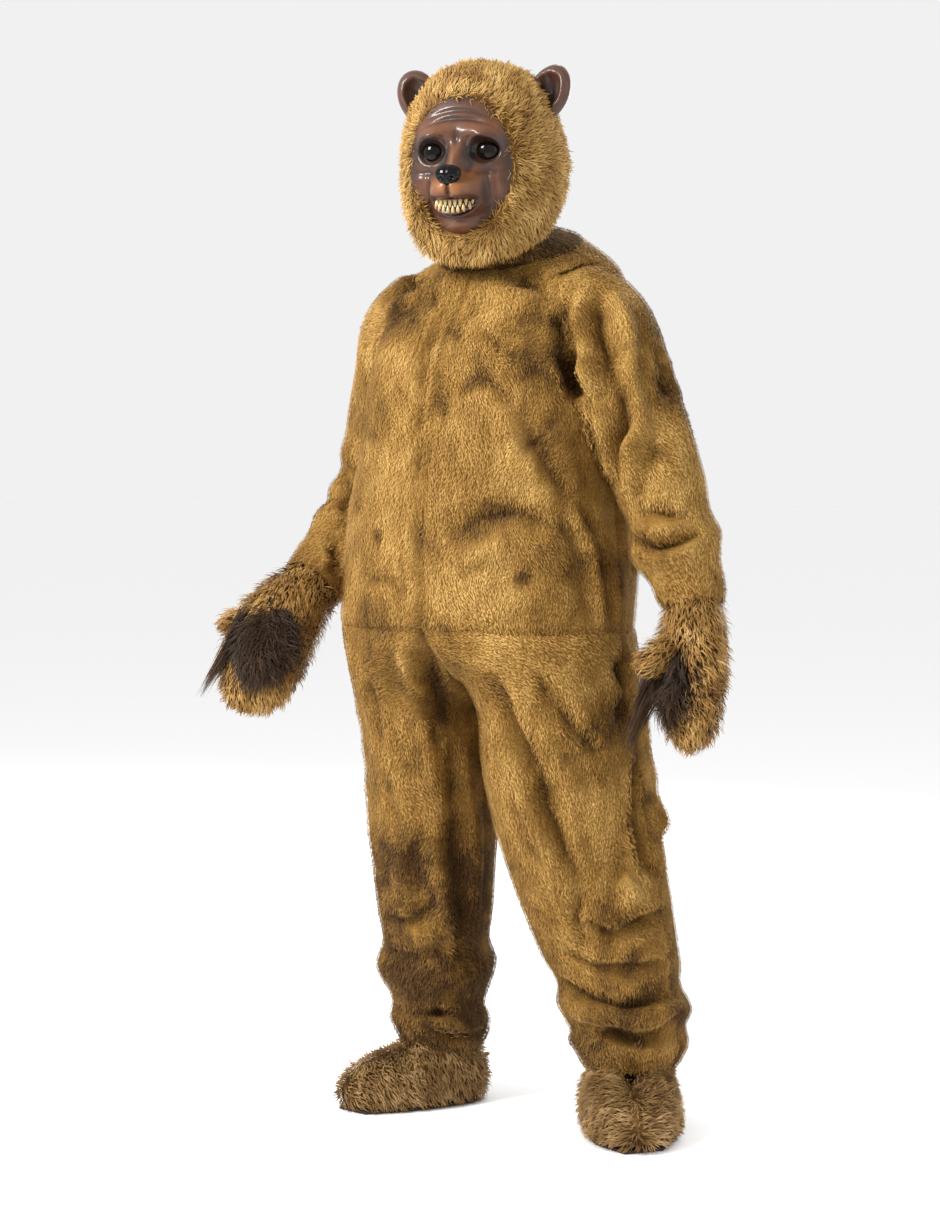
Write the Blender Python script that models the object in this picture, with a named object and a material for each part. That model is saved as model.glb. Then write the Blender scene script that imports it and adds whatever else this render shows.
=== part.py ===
"""A worn bear costume: a plush jumpsuit, mitts, foot covers and a hooded head with a moulded face.

The costume keeps the hollow, filled-out form that it has on a standing wearer. It faces -Y, +X is the
wearer's left, and the origin lies between the wearer's shoulders, where the jumpsuit hangs. Lengths are
in metres. Heights in the tables are above the floor, and the floor frame moves them down to the origin.
"""

import math
from collections import namedtuple

import bmesh
import bpy
from mathutils import Euler, Matrix, Vector

# Driving sizes
HOLD_HEIGHT = 1.44
HIP_SEAM = 0.88
CROTCH = 0.765
HEM = 0.105
NECK_SEAM = 1.528
SEAM_GAP = 0.0003
CUFF_GAP = 0.0009
LEFT, RIGHT = 1, -1
SIDE_NAMES = {LEFT: "left", RIGHT: "right"}

# Thickness of each cloth, backing and pile together, and of the moulded and felt pieces
PLUSH = 0.010
COLLAR = 0.004
LONG_FUR = 0.013
LATEX = 0.004
SOLE_FELT = 0.005

# How finely each form is divided
TORSO_COLUMNS, TORSO_ROWS = 9, 16
LEG_COLUMNS, LEG_ROWS = 9, 19
SLEEVE_COLUMNS, SLEEVE_ROWS = 16, 22
HOOD_COLUMNS, HOOD_ROWS = 22, 9
MASK_SPOKES, MASK_RINGS = 26, 8
CUFF_ROWS = 2
LOW_LEG, LOW_ROWS = 0.30, 8

MATERIALS = {
    "plush": ((0.42, 0.24, 0.08), 0.95),
    "long_fur": ((0.36, 0.20, 0.08), 0.95),
    "head_fur": ((0.52, 0.32, 0.12), 0.95),
    "palm_fur": ((0.04, 0.025, 0.018), 0.9),
    "latex": ((0.20, 0.09, 0.05), 0.35),
    "black_plastic": ((0.01, 0.01, 0.01), 0.08),
    "tooth": ((0.72, 0.55, 0.28), 0.3),
    "sole_felt": ((0.05, 0.035, 0.025), 0.9),
}

# How far the standing figure leans to its left at each height
LEAN = [(HIP_SEAM, 0.000), (1.020, 0.014), (1.200, 0.026), (1.600, 0.028)]
ARM_LEAN = 0.022

# The body's sections. rise is how much higher a section lies RISE_REACH behind its middle than that far in
# front of it.
RISE_REACH = 0.11
BodySection = namedtuple("BodySection", "height centre_x centre_y half_width front back fullness rise")
TORSO = [
    BodySection(HIP_SEAM, 0.000, -0.010, 0.283, 0.200, 0.190, 0.02, 0.000),
    BodySection(0.960, 0.000, -0.014, 0.275, 0.206, 0.192, 0.03, 0.000),
    BodySection(1.050, 0.000, -0.016, 0.262, 0.208, 0.190, 0.04, 0.000),
    BodySection(1.150, 0.000, -0.016, 0.250, 0.206, 0.188, 0.05, 0.000),
    BodySection(1.250, 0.000, -0.010, 0.240, 0.200, 0.184, 0.06, 0.000),
    BodySection(1.330, 0.000, 0.000, 0.232, 0.190, 0.174, 0.06, 0.006),
    BodySection(1.400, 0.000, 0.014, 0.226, 0.176, 0.164, 0.05, 0.020),
    BodySection(1.460, 0.000, 0.026, 0.212, 0.156, 0.155, 0.03, 0.044),
    BodySection(1.500, 0.000, 0.026, 0.190, 0.136, 0.144, 0.01, 0.066),
    BodySection(NECK_SEAM, 0.000, 0.012, 0.132, 0.110, 0.122, 0.00, 0.080),
]
LEGS = {
    LEFT: [
        TORSO[0],
        BodySection(0.845, 0.034, -0.010, 0.252, 0.194, 0.186, 0.02, 0.0),
        BodySection(0.805, 0.090, -0.008, 0.202, 0.182, 0.176, 0.02, 0.0),
        BodySection(CROTCH, 0.1462, -0.004, 0.1455, 0.166, 0.160, 0.00, 0.0),
        BodySection(0.680, 0.160, -0.004, 0.150, 0.158, 0.148, 0.02, 0.0),
        BodySection(0.570, 0.168, 0.010, 0.148, 0.152, 0.144, 0.02, 0.0),
        BodySection(0.450, 0.183, 0.038, 0.145, 0.146, 0.143, 0.01, 0.0),
        BodySection(0.350, 0.198, 0.060, 0.133, 0.133, 0.132, 0.00, 0.0),
        BodySection(0.250, 0.215, 0.083, 0.121, 0.120, 0.122, 0.00, 0.0),
        BodySection(0.170, 0.229, 0.098, 0.108, 0.107, 0.111, 0.00, 0.0),
        BodySection(HEM, 0.229, 0.099, 0.087, 0.087, 0.092, 0.00, 0.0),
    ],
    RIGHT: [
        TORSO[0],
        BodySection(0.845, 0.030, -0.010, 0.244, 0.192, 0.186, 0.02, 0.0),
        BodySection(0.805, 0.078, -0.008, 0.192, 0.178, 0.174, 0.02, 0.0),
        BodySection(CROTCH, 0.1312, -0.004, 0.1305, 0.158, 0.156, 0.00, 0.0),
        BodySection(0.680, 0.127, 0.002, 0.121, 0.142, 0.142, 0.02, 0.0),
        BodySection(0.570, 0.126, 0.008, 0.114, 0.131, 0.129, 0.02, 0.0),
        BodySection(0.450, 0.133, 0.020, 0.109, 0.120, 0.120, 0.01, 0.0),
        BodySection(0.350, 0.145, 0.037, 0.107, 0.112, 0.112, 0.00, 0.0),
        BodySection(0.250, 0.160, 0.058, 0.104, 0.107, 0.107, 0.00, 0.0),
        BodySection(0.170, 0.164, 0.074, 0.094, 0.094, 0.094, 0.00, 0.0),
        BodySection(HEM, 0.162, 0.080, 0.080, 0.080, 0.082, 0.00, 0.0),
    ],
}

# The arms. Each sleeve's rows run from the shoulder to the cuff, and each hand's go on to the tip.
ArmSection = namedtuple("ArmSection", "x y z half_width half_depth")
SLEEVES = {
    LEFT: [
        ArmSection(0.134, 0.018, 1.434, 0.086, 0.094),
        ArmSection(0.190, 0.016, 1.386, 0.100, 0.104),
        ArmSection(0.246, -0.002, 1.300, 0.094, 0.098),
        ArmSection(0.300, -0.016, 1.210, 0.086, 0.090),
        ArmSection(0.343, -0.026, 1.120, 0.081, 0.084),
        ArmSection(0.368, -0.022, 1.030, 0.078, 0.080),
        ArmSection(0.390, -0.016, 0.965, 0.070, 0.072),
        ArmSection(0.400, -0.016, 0.925, 0.058, 0.062),
    ],
    RIGHT: [
        ArmSection(0.142, 0.018, 1.434, 0.086, 0.094),
        ArmSection(0.194, 0.020, 1.388, 0.101, 0.105),
        ArmSection(0.240, 0.044, 1.300, 0.094, 0.098),
        ArmSection(0.290, 0.072, 1.215, 0.086, 0.090),
        ArmSection(0.328, 0.086, 1.130, 0.080, 0.084),
        ArmSection(0.350, 0.054, 1.050, 0.078, 0.080),
        ArmSection(0.356, -0.016, 0.982, 0.073, 0.073),
        ArmSection(0.364, -0.074, 0.936, 0.060, 0.064),
    ],
}
HANDS = {
    LEFT: [
        ArmSection(0.404, -0.021, 0.900, 0.066, 0.056),
        ArmSection(0.408, -0.026, 0.860, 0.074, 0.056),
        ArmSection(0.410, -0.030, 0.810, 0.078, 0.052),
        ArmSection(0.408, -0.032, 0.760, 0.074, 0.048),
        ArmSection(0.404, -0.034, 0.715, 0.060, 0.040),
        ArmSection(0.400, -0.036, 0.690, 0.038, 0.026),
        ArmSection(0.398, -0.036, 0.682, 0.000, 0.000),
    ],
    RIGHT: [
        ArmSection(0.371, -0.100, 0.914, 0.068, 0.058),
        ArmSection(0.382, -0.130, 0.878, 0.080, 0.058),
        ArmSection(0.392, -0.156, 0.832, 0.084, 0.054),
        ArmSection(0.402, -0.176, 0.786, 0.080, 0.050),
        ArmSection(0.408, -0.188, 0.746, 0.064, 0.042),
        ArmSection(0.412, -0.194, 0.722, 0.040, 0.026),
        ArmSection(0.413, -0.196, 0.714, 0.000, 0.000),
    ],
}
PALM_TURN = {LEFT: 114, RIGHT: 125}
PALM_SIZE = (0.050, 0.068)

# The prism that parts each palm from its mitt is longer than the mitt is thick
PALM_CUT = 0.12

# A thumb starts inside its mitt and ends at its tip
Thumb = namedtuple("Thumb", "x y z reach_x reach_y reach_z")
THUMBS = {
    LEFT: Thumb(0.400, -0.040, 0.870, -0.040, -0.084, -0.050),
    RIGHT: Thumb(0.384, -0.125, 0.872, 0.096, -0.070, 0.000),
}
THUMB_COLUMNS = 12
THUMB_RINGS = [(0.00, 0.027), (0.35, 0.030), (0.70, 0.030), (0.90, 0.021), (1.00, 0.000)]

# The palm's longest hair, as locks on a narrow strip beside the palm. away is the strip's place in degrees
# from the middle of the palm, and the spread is the direction that the hair leaves in, before it droops.
LockStrip = namedtuple("LockStrip", "away start spacing half_size spread_x spread_y spread_z")
LOCK_STRIPS = {
    LEFT: LockStrip(40, -0.034, 0.0095, 0.0040, -0.66, -0.44, -0.60),
    RIGHT: LockStrip(-54, -0.034, 0.0095, 0.0040, -0.62, -0.52, -0.58),
}
STRIP_CORNERS = ((-1, -1), (1, -1), (1, 1), (-1, 1))
LOCK_DROOP = 1.6
LOCK_RINGS = ((0.30, 0.62), (0.65, 0.42))
LOCK_LENGTHS = {
    LEFT: [0.062, 0.088, 0.070, 0.104, 0.082, 0.112, 0.074, 0.096],
    RIGHT: [0.060, 0.078, 0.096, 0.072, 0.100, 0.084, 0.092, 0.066],
}

# Soft folds. turn is in degrees: on the body 90 is the centre front, 0 the side and -90 the centre back,
# and on a sleeve 0 is the outer side and 90 the front. at is a height on the body, and the distance from
# the shoulder on a sleeve. slant is the fold's lean from the vertical. A negative depth is a trough.
Fold = namedtuple("Fold", "turn at slant half_length half_width depth")
TORSO_FOLDS = {
    LEFT: [
        Fold(84, 1.395, -34, 0.120, 0.018, 0.010),
        Fold(62, 1.400, -28, 0.110, 0.022, -0.010),
        Fold(50, 1.330, -18, 0.130, 0.024, 0.010),
        Fold(28, 1.300, -12, 0.130, 0.022, -0.012),
        Fold(35, 1.060, -22, 0.170, 0.028, 0.012),
        Fold(14, 1.000, -14, 0.150, 0.026, -0.012),
        Fold(58, 1.010, 16, 0.120, 0.026, -0.007),
        Fold(-40, 1.200, 12, 0.180, 0.030, 0.012),
        Fold(-66, 1.060, 6, 0.170, 0.028, -0.012),
        Fold(-30, 0.980, 20, 0.120, 0.026, 0.010),
    ],
    RIGHT: [
        Fold(70, 1.385, 30, 0.110, 0.020, -0.010),
        Fold(46, 1.340, 20, 0.130, 0.022, 0.010),
        Fold(26, 1.280, 12, 0.140, 0.024, -0.012),
        Fold(52, 1.080, 8, 0.170, 0.026, -0.007),
        Fold(22, 1.020, 16, 0.150, 0.026, 0.010),
        Fold(-36, 1.180, -14, 0.170, 0.028, 0.012),
        Fold(-62, 1.040, -8, 0.160, 0.028, -0.012),
        Fold(-24, 0.960, -18, 0.120, 0.024, 0.010),
    ],
}
LEG_FOLDS = {
    LEFT: [
        Fold(96, 0.620, 20, 0.200, 0.026, -0.012),
        Fold(60, 0.600, 26, 0.220, 0.026, -0.015),
        Fold(76, 0.540, 24, 0.200, 0.028, 0.012),
        Fold(36, 0.540, 22, 0.200, 0.026, 0.012),
        Fold(20, 0.460, 12, 0.130, 0.026, -0.012),
        Fold(-14, 0.540, -10, 0.130, 0.026, 0.016),
        Fold(-46, 0.520, -14, 0.150, 0.028, -0.014),
        Fold(60, 0.300, 62, 0.120, 0.024, -0.012),
        Fold(-80, 0.420, 40, 0.140, 0.026, 0.012),
        Fold(-110, 0.560, 8, 0.180, 0.028, -0.010),
    ],
    RIGHT: [
        Fold(64, 0.600, -8, 0.200, 0.026, -0.012),
        Fold(92, 0.540, -6, 0.200, 0.028, 0.010),
        Fold(30, 0.500, -10, 0.180, 0.026, 0.010),
        Fold(84, 0.300, -66, 0.110, 0.024, -0.012),
        Fold(130, 0.480, 4, 0.200, 0.026, -0.012),
        Fold(-30, 0.520, 12, 0.160, 0.028, 0.012),
        Fold(-70, 0.440, 24, 0.160, 0.028, -0.012),
        Fold(-110, 0.560, -8, 0.180, 0.028, 0.010),
    ],
}
SLEEVE_FOLDS = {
    LEFT: [
        Fold(58, 0.220, 4, 0.160, 0.020, 0.011),
        Fold(86, 0.210, -6, 0.160, 0.020, -0.013),
        Fold(118, 0.210, 6, 0.140, 0.022, 0.010),
        Fold(30, 0.210, -4, 0.140, 0.022, -0.010),
        Fold(0, 0.260, 8, 0.180, 0.026, 0.007),
        Fold(-60, 0.240, 10, 0.170, 0.026, -0.010),
        Fold(-100, 0.260, -8, 0.150, 0.026, 0.010),
        Fold(100, 0.400, 58, 0.100, 0.020, -0.010),
    ],
    RIGHT: [
        Fold(60, 0.220, 6, 0.150, 0.022, -0.011),
        Fold(20, 0.230, -6, 0.150, 0.024, 0.010),
        Fold(-40, 0.240, 8, 0.170, 0.026, -0.011),
        Fold(-90, 0.240, 4, 0.150, 0.026, 0.010),
        Fold(110, 0.240, 30, 0.110, 0.022, 0.010),
    ],
}

# Rolls are folds that run right round a tube, where cloth sinks on itself at an ankle, elbow or cuff.
# at is where the roll passes turn, and tilt is how far it drops on the opposite side.
Roll = namedtuple("Roll", "turn at tilt half_width depth")
LEG_ROLLS = {
    LEFT: [
        Roll(70, 0.266, 0.030, 0.022, -0.012),
        Roll(40, 0.225, 0.034, 0.024, 0.014),
        Roll(90, 0.186, 0.016, 0.018, -0.013),
        Roll(60, 0.152, 0.012, 0.020, 0.012),
    ],
    RIGHT: [
        Roll(110, 0.290, -0.020, 0.022, -0.010),
        Roll(110, 0.240, -0.024, 0.025, 0.012),
        Roll(90, 0.190, 0.014, 0.018, -0.013),
        Roll(90, 0.155, 0.012, 0.020, 0.011),
    ],
}
SLEEVE_ROLLS = {
    LEFT: [
        Roll(60, 0.450, 0.020, 0.020, -0.008),
        Roll(70, 0.490, 0.016, 0.020, 0.009),
        Roll(60, 0.530, -0.012, 0.018, -0.008),
    ],
    RIGHT: [
        Roll(20, 0.350, 0.050, 0.020, 0.008),
        Roll(10, 0.388, 0.044, 0.018, -0.011),
        Roll(10, 0.424, 0.038, 0.019, 0.010),
        Roll(0, 0.462, 0.030, 0.018, -0.010),
        Roll(0, 0.498, 0.022, 0.018, 0.009),
        Roll(0, 0.534, 0.010, 0.018, -0.007),
    ],
}

# The foot covers, as ovals about the ankle that point where the foot does
FootSection = namedtuple("FootSection", "height toe heel half_width squareness")
FEET = {
    LEFT: [
        FootSection(SOLE_FELT + SEAM_GAP, 0.232, 0.114, 0.088, 2.4),
        FootSection(0.030, 0.242, 0.124, 0.094, 2.4),
        FootSection(0.066, 0.226, 0.116, 0.089, 2.3),
        FootSection(0.092, 0.176, 0.098, 0.081, 2.2),
    ],
    RIGHT: [
        FootSection(SOLE_FELT + SEAM_GAP, 0.232, 0.076, 0.074, 2.4),
        FootSection(0.030, 0.243, 0.084, 0.082, 2.4),
        FootSection(0.066, 0.227, 0.085, 0.080, 2.3),
        FootSection(0.092, 0.178, 0.077, 0.077, 2.2),
    ],
}
FOOT_HEADING = {LEFT: 35, RIGHT: 22}

# The head, in its own frame: +X is its left, -Y its front and the origin its middle
HEAD_CENTRE = (0.020, -0.046, 1.674)
HEAD_TURN = 17
HEAD_NOD = 3
RIM_DROP = 0.004
COLLAR_REACH = 0.35
COLLAR_SLACK = 4
HeadSection = namedtuple("HeadSection", "height half_width front back rise")
HEAD = [
    HeadSection(-0.128, 0.120, 0.126, 0.108, 0.100),
    HeadSection(-0.105, 0.136, 0.144, 0.128, 0.086),
    HeadSection(-0.060, 0.148, 0.158, 0.152, 0.050),
    HeadSection(0.000, 0.148, 0.160, 0.164, 0.018),
    HeadSection(0.050, 0.141, 0.153, 0.164, 0.004),
    HeadSection(0.095, 0.127, 0.138, 0.151, 0.000),
    HeadSection(0.135, 0.101, 0.108, 0.122, 0.000),
    HeadSection(0.162, 0.068, 0.070, 0.078, 0.000),
    HeadSection(0.178, 0.000, 0.000, 0.000, 0.000),
]

# The moulded face: soft forms over an oval, each mirrored, with how far it stands out
FACE_CENTRE = -0.012
FACE_SIZE = (0.090, 0.118)
FACE_DEPTH = 0.146
FACE_BEND = (0.165, 0.21)
FACE_HOLE = (-0.06, -0.26)
FaceForm = namedtuple("FaceForm", "x z half_width half_height lift")
FACE_FORMS = [
    FaceForm(0.000, -0.060, 0.044, 0.036, 0.046),
    FaceForm(0.030, -0.058, 0.026, 0.030, 0.010),
    FaceForm(0.000, -0.010, 0.020, 0.040, 0.020),
    FaceForm(0.046, 0.046, 0.034, 0.017, 0.014),
    FaceForm(0.047, 0.012, 0.021, 0.017, -0.016),
    FaceForm(0.062, -0.030, 0.026, 0.030, 0.008),
    FaceForm(0.000, 0.080, 0.060, 0.030, 0.006),
    FaceForm(0.000, -0.110, 0.034, 0.018, 0.016),
]
MOUTH = FaceForm(0.000, -0.078, 0.036, 0.013, -0.020)
Eye = namedtuple("Eye", "x z radius set_back")
EYE = Eye(0.047, 0.013, 0.021, 0.008)
NOSE_HEIGHT, NOSE_SET_BACK = -0.034, 0.003
NOSE_SIZE = (0.022, 0.013, 0.015)
EAR_CENTRE = (0.115, 0.006, 0.112)
EAR_SIZE, EAR_CUP_SIZE = (0.038, 0.020, 0.052), (0.028, 0.024, 0.040)
EAR_CUP_SHIFT = (0, -0.022, 0.002)
EAR_TURN = (-8, 28, -14)
TEETH = 8
TEETH_HALF_WIDTH = 0.027
BITE, BITE_CLOSES_AT = 0.0085, 0.04
GUM_SHARE, TOOTH_SHARE = 0.18, 0.66
TOOTH_SET_BACK, TOOTH_DEPTH, GUM_DEPTH = 0.0015, 0.003, 0.014
STEPS_PER_TOOTH = 3


# Scene, materials and the two frames
def empty_scene():
    for thing in list(bpy.data.objects):
        bpy.data.objects.remove(thing)


def new_collection(name):
    made = bpy.data.collections.new(name)
    bpy.context.scene.collection.children.link(made)
    return made


def make_materials():
    made = {}
    for name, (colour, roughness) in MATERIALS.items():
        material = bpy.data.materials.new(name)
        material.use_nodes = True
        surface = material.node_tree.nodes["Principled BSDF"]
        surface.inputs["Base Color"].default_value = (*colour, 1.0)
        surface.inputs["Roughness"].default_value = roughness
        surface.inputs["Metallic"].default_value = 0.0
        made[name] = material
    return made


def new_frame(name, location, turn=(0, 0, 0), parent=None):
    """An empty that a group of pieces is placed by."""
    made = bpy.data.objects.new(name, None)
    costume.objects.link(made)
    made.parent = parent
    made.location = location
    made.rotation_euler = Euler([math.radians(angle) for angle in turn])
    return made


def add_piece(name, mesh, material, parent):
    made = bpy.data.objects.new(name, mesh)
    mesh.materials.clear()
    mesh.materials.append(materials[material])
    mesh.shade_smooth()
    costume.objects.link(made)
    made.parent = parent
    return made


def add_cutter(name, mesh, parent):
    made = bpy.data.objects.new(name, mesh)
    cutters.objects.link(made)
    made.parent = parent
    made.hide_render = True
    made.display_type = "WIRE"
    return made


def combine(piece, other, operation="DIFFERENCE"):
    """A Boolean of piece with a closed cutter."""
    modifier = piece.modifiers.new(f"{operation.lower()} {other.name}", "BOOLEAN")
    modifier.operation = operation
    modifier.object = other
    modifier.solver = "EXACT"


empty_scene()
costume = new_collection("bear_costume")
cutters = new_collection("cutters")
materials = make_materials()
floor_frame = new_frame("floor_frame", (0, 0, -HOLD_HEIGHT))
head_frame = new_frame("head_frame", HEAD_CENTRE, (HEAD_NOD, 0, HEAD_TURN), floor_frame)


# Smooth curves through a table's rows
def between(low, high, share):
    return low + (high - low) * share


def curve_value(keys, values, at):
    """The smooth curve through (key, value) pairs with rising keys, held level past both ends."""
    if at <= keys[0]:
        return values[0]
    if at >= keys[-1]:
        return values[-1]
    i = max(n for n in range(len(keys) - 1) if keys[n] <= at)

    def slope(n):
        before, after = max(n - 1, 0), min(n + 1, len(keys) - 1)
        return (values[after] - values[before]) / (keys[after] - keys[before])

    step = keys[i + 1] - keys[i]
    s = (at - keys[i]) / step
    start = (2 * s**3 - 3 * s**2 + 1) * values[i] + (s**3 - 2 * s**2 + s) * step * slope(i)
    end = (3 * s**2 - 2 * s**3) * values[i + 1] + (s**3 - s**2) * step * slope(i + 1)
    return start + end


def lean_at(height):
    heights, shifts = zip(*LEAN)
    return curve_value(heights, shifts, height)


def section_at(table, height):
    """The table's section at a height, with every column on its smooth curve."""
    rows = sorted(table)
    columns = list(zip(*rows))
    return type(table[0])(*(curve_value(columns[0], values, height) for values in columns))


# Folds and rolls, which move cloth out or in
def fold_lift(fold, turn, at, radius):
    """How far one fold lifts the cloth at a turn in degrees and a height or distance."""
    away = (turn - fold.turn + 180) % 360 - 180
    across, along = math.radians(away) * radius, at - fold.at
    lean = math.radians(fold.slant)
    run = along * math.cos(lean) + across * math.sin(lean)
    side = across * math.cos(lean) - along * math.sin(lean)
    share = min(abs(run) / fold.half_length, 1)
    return fold.depth * (1 - share * share) ** 2 * math.exp(-((side / fold.half_width) ** 2))


def roll_lift(roll, turn, at):
    centre = roll.at - roll.tilt * (1 - math.cos(math.radians(turn - roll.turn))) / 2
    return roll.depth * math.exp(-(((at - centre) / roll.half_width) ** 2))


def cloth_lift(folds, rolls, turn, at, radius):
    folded = sum(fold_lift(fold, turn, at, radius) for fold in folds)
    return folded + sum(roll_lift(roll, turn, at) for roll in rolls)


# Walls and filled bodies from rows of points
def finished(mesh, name):
    """A bmesh with its faces turned outwards, as mesh data. Walls that lie side by side split alike."""
    bmesh.ops.recalc_face_normals(mesh, faces=mesh.faces)
    quads = [face for face in mesh.faces if len(face.verts) == 4]
    bmesh.ops.triangulate(mesh, faces=quads, quad_method="FIXED")
    data = bpy.data.meshes.new(name)
    mesh.to_mesh(data)
    mesh.free()
    return data


def skin(mesh, rows, around):
    """Faces over rows of points, where a row of one point closes a dome."""
    grid = [[mesh.verts.new(point) for point in row] for row in rows]
    for low, high in zip(grid, grid[1:]):
        for i in range(len(low) if around else len(low) - 1):
            k = (i + 1) % len(low)
            if len(high) == 1:
                mesh.faces.new((low[i], low[k], high[0]))
            else:
                mesh.faces.new((low[i], low[k], high[k], high[i]))
    return grid


def wall_mesh(name, outer, inner, around=False):
    """The closed wall between an outer and an inner sheet of points."""
    mesh = bmesh.new()
    out_grid, in_grid = skin(mesh, outer, around), skin(mesh, inner, around)
    for row in (0, -1):
        a, b = out_grid[row], in_grid[row]
        for i in range(len(a) if around else len(a) - 1):
            k = (i + 1) % len(a)
            if len(a) > 1:
                mesh.faces.new((a[i], a[k], b[k], b[i]))
    if not around:
        for end in (0, -1):
            for j in range(len(out_grid) - 1):
                mesh.faces.new((out_grid[j][end], out_grid[j + 1][end], in_grid[j + 1][end], in_grid[j][end]))
    return finished(mesh, name)


def filled_mesh(name, rows):
    """The filled body inside rings of points."""
    mesh = bmesh.new()
    grid = skin(mesh, rows, around=True)
    for row in (grid[0], grid[-1]):
        if len(row) > 1:
            mesh.faces.new(row)
    return finished(mesh, name)


def ellipsoid_mesh(name, centre, radii, turn=(0, 0, 0), segments=16, rings=10):
    mesh = bmesh.new()
    bmesh.ops.create_uvsphere(mesh, u_segments=segments, v_segments=rings, radius=1)
    turned = Euler([math.radians(angle) for angle in turn])
    place = Matrix.LocRotScale(Vector(centre), turned, Vector(radii))
    bmesh.ops.transform(mesh, matrix=place, verts=mesh.verts)
    return finished(mesh, name)


def prism_mesh(name, start, direction, across, half_sizes, length, segments=22):
    """An elliptical prism that runs from start along direction."""
    mesh = bmesh.new()
    bmesh.ops.create_cone(mesh, cap_ends=True, segments=segments, radius1=1, radius2=1, depth=1)
    along = direction.normalized()
    wide = (across - along * across.dot(along)).normalized()
    axes = Matrix((wide, along.cross(wide), along)).transposed().to_4x4()
    scale = Matrix.Diagonal((half_sizes[0], half_sizes[1], length, 1))
    place = Matrix.Translation(Vector(start) + along * length / 2) @ axes @ scale
    bmesh.ops.transform(mesh, matrix=place, verts=mesh.verts)
    return finished(mesh, name)


# Torso and trouser legs
def body_outline(side, section, turn, inset, lift):
    """A point on a body section at a turn in radians, moved in by inset and out by lift."""
    swell = 1 + section.fullness * math.sin(2 * turn) ** 2
    depth = section.front if math.sin(turn) > 0 else section.back
    flat = Vector((math.cos(turn) * section.half_width, -math.sin(turn) * depth)) * swell
    out = Vector((math.cos(turn) / section.half_width, -math.sin(turn) / depth)).normalized()
    flat += out * (lift - inset)
    height = section.height + section.rise * (flat.y / RISE_REACH) / 2
    return Vector((side * (section.centre_x + flat.x), section.centre_y + flat.y, height))


def last_turn(section):
    """Where a section's outline meets the centre plane, or its own inseam on a leg."""
    return math.acos(max(-1.0, -section.centre_x / section.half_width))


def leg_or_torso_point(side, table, folds, rolls, height, turn, inset):
    section = section_at(table, height)
    radius = (section.half_width + section.front) / 2
    lift = cloth_lift(folds, rolls, math.degrees(turn), height, radius)
    return body_outline(side, section, turn, inset, lift)


def body_panel(name, side, quarter, table, heights, folds, rolls, columns):
    """One panel from the centre or inseam to the side seam, at rising heights."""
    sheets = []
    for inset in (0.0, PLUSH):
        rows = []
        for height in heights:
            far = last_turn(section_at(table, height))
            row = []
            for i in range(columns + 1):
                turn = quarter * far * (1 - i / columns)
                point = leg_or_torso_point(side, table, folds, rolls, height, turn, inset)
                point.x = side * max(side * point.x, SEAM_GAP / 2) + lean_at(height)
                if i == columns or (i == 0 and far > math.pi - 0.01):
                    point.y -= quarter * SEAM_GAP / 2
                row.append(point)
            rows.append(row)
        sheets.append(rows)
    for rows in sheets:
        for point in rows[0]:
            point.z += SEAM_GAP / 2
        for point in rows[-1]:
            point.z -= SEAM_GAP / 2
    return add_piece(name, wall_mesh(name, *sheets), "plush", floor_frame)


TORSO_HEIGHTS = [between(HIP_SEAM, NECK_SEAM, j / TORSO_ROWS) for j in range(TORSO_ROWS + 1)]
LEG_HEIGHTS = [between(HEM, LOW_LEG, j / LOW_ROWS) for j in range(LOW_ROWS)] + [
    between(LOW_LEG, HIP_SEAM, j / (LEG_ROWS - LOW_ROWS)) for j in range(LEG_ROWS - LOW_ROWS + 1)
]


def make_body():
    torso = {}
    for side, side_name in SIDE_NAMES.items():
        for quarter, quarter_name in ((1, "front"), (-1, "back")):
            torso[side, quarter] = body_panel(
                f"torso_{quarter_name}_{side_name}", side, quarter, TORSO, TORSO_HEIGHTS,
                TORSO_FOLDS[side], [], TORSO_COLUMNS,
            )
            body_panel(
                f"leg_{quarter_name}_{side_name}", side, quarter, LEGS[side], LEG_HEIGHTS,
                LEG_FOLDS[side], LEG_ROLLS[side], LEG_COLUMNS,
            )
    return torso


def torso_ring(height, inset, columns=4 * TORSO_COLUMNS):
    """A whole ring of the torso, without its folds."""
    section, lean = section_at(TORSO, height), Vector((lean_at(height), 0, 0))
    return [body_outline(LEFT, section, 2 * math.pi * i / columns, inset, 0) + lean for i in range(columns)]


torso_panels = make_body()
hollow_rows = [torso_ring(height, PLUSH + CUFF_GAP) for height in TORSO_HEIGHTS]
torso_hollow = add_cutter("torso_hollow", filled_mesh("torso_hollow", hollow_rows), floor_frame)


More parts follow.
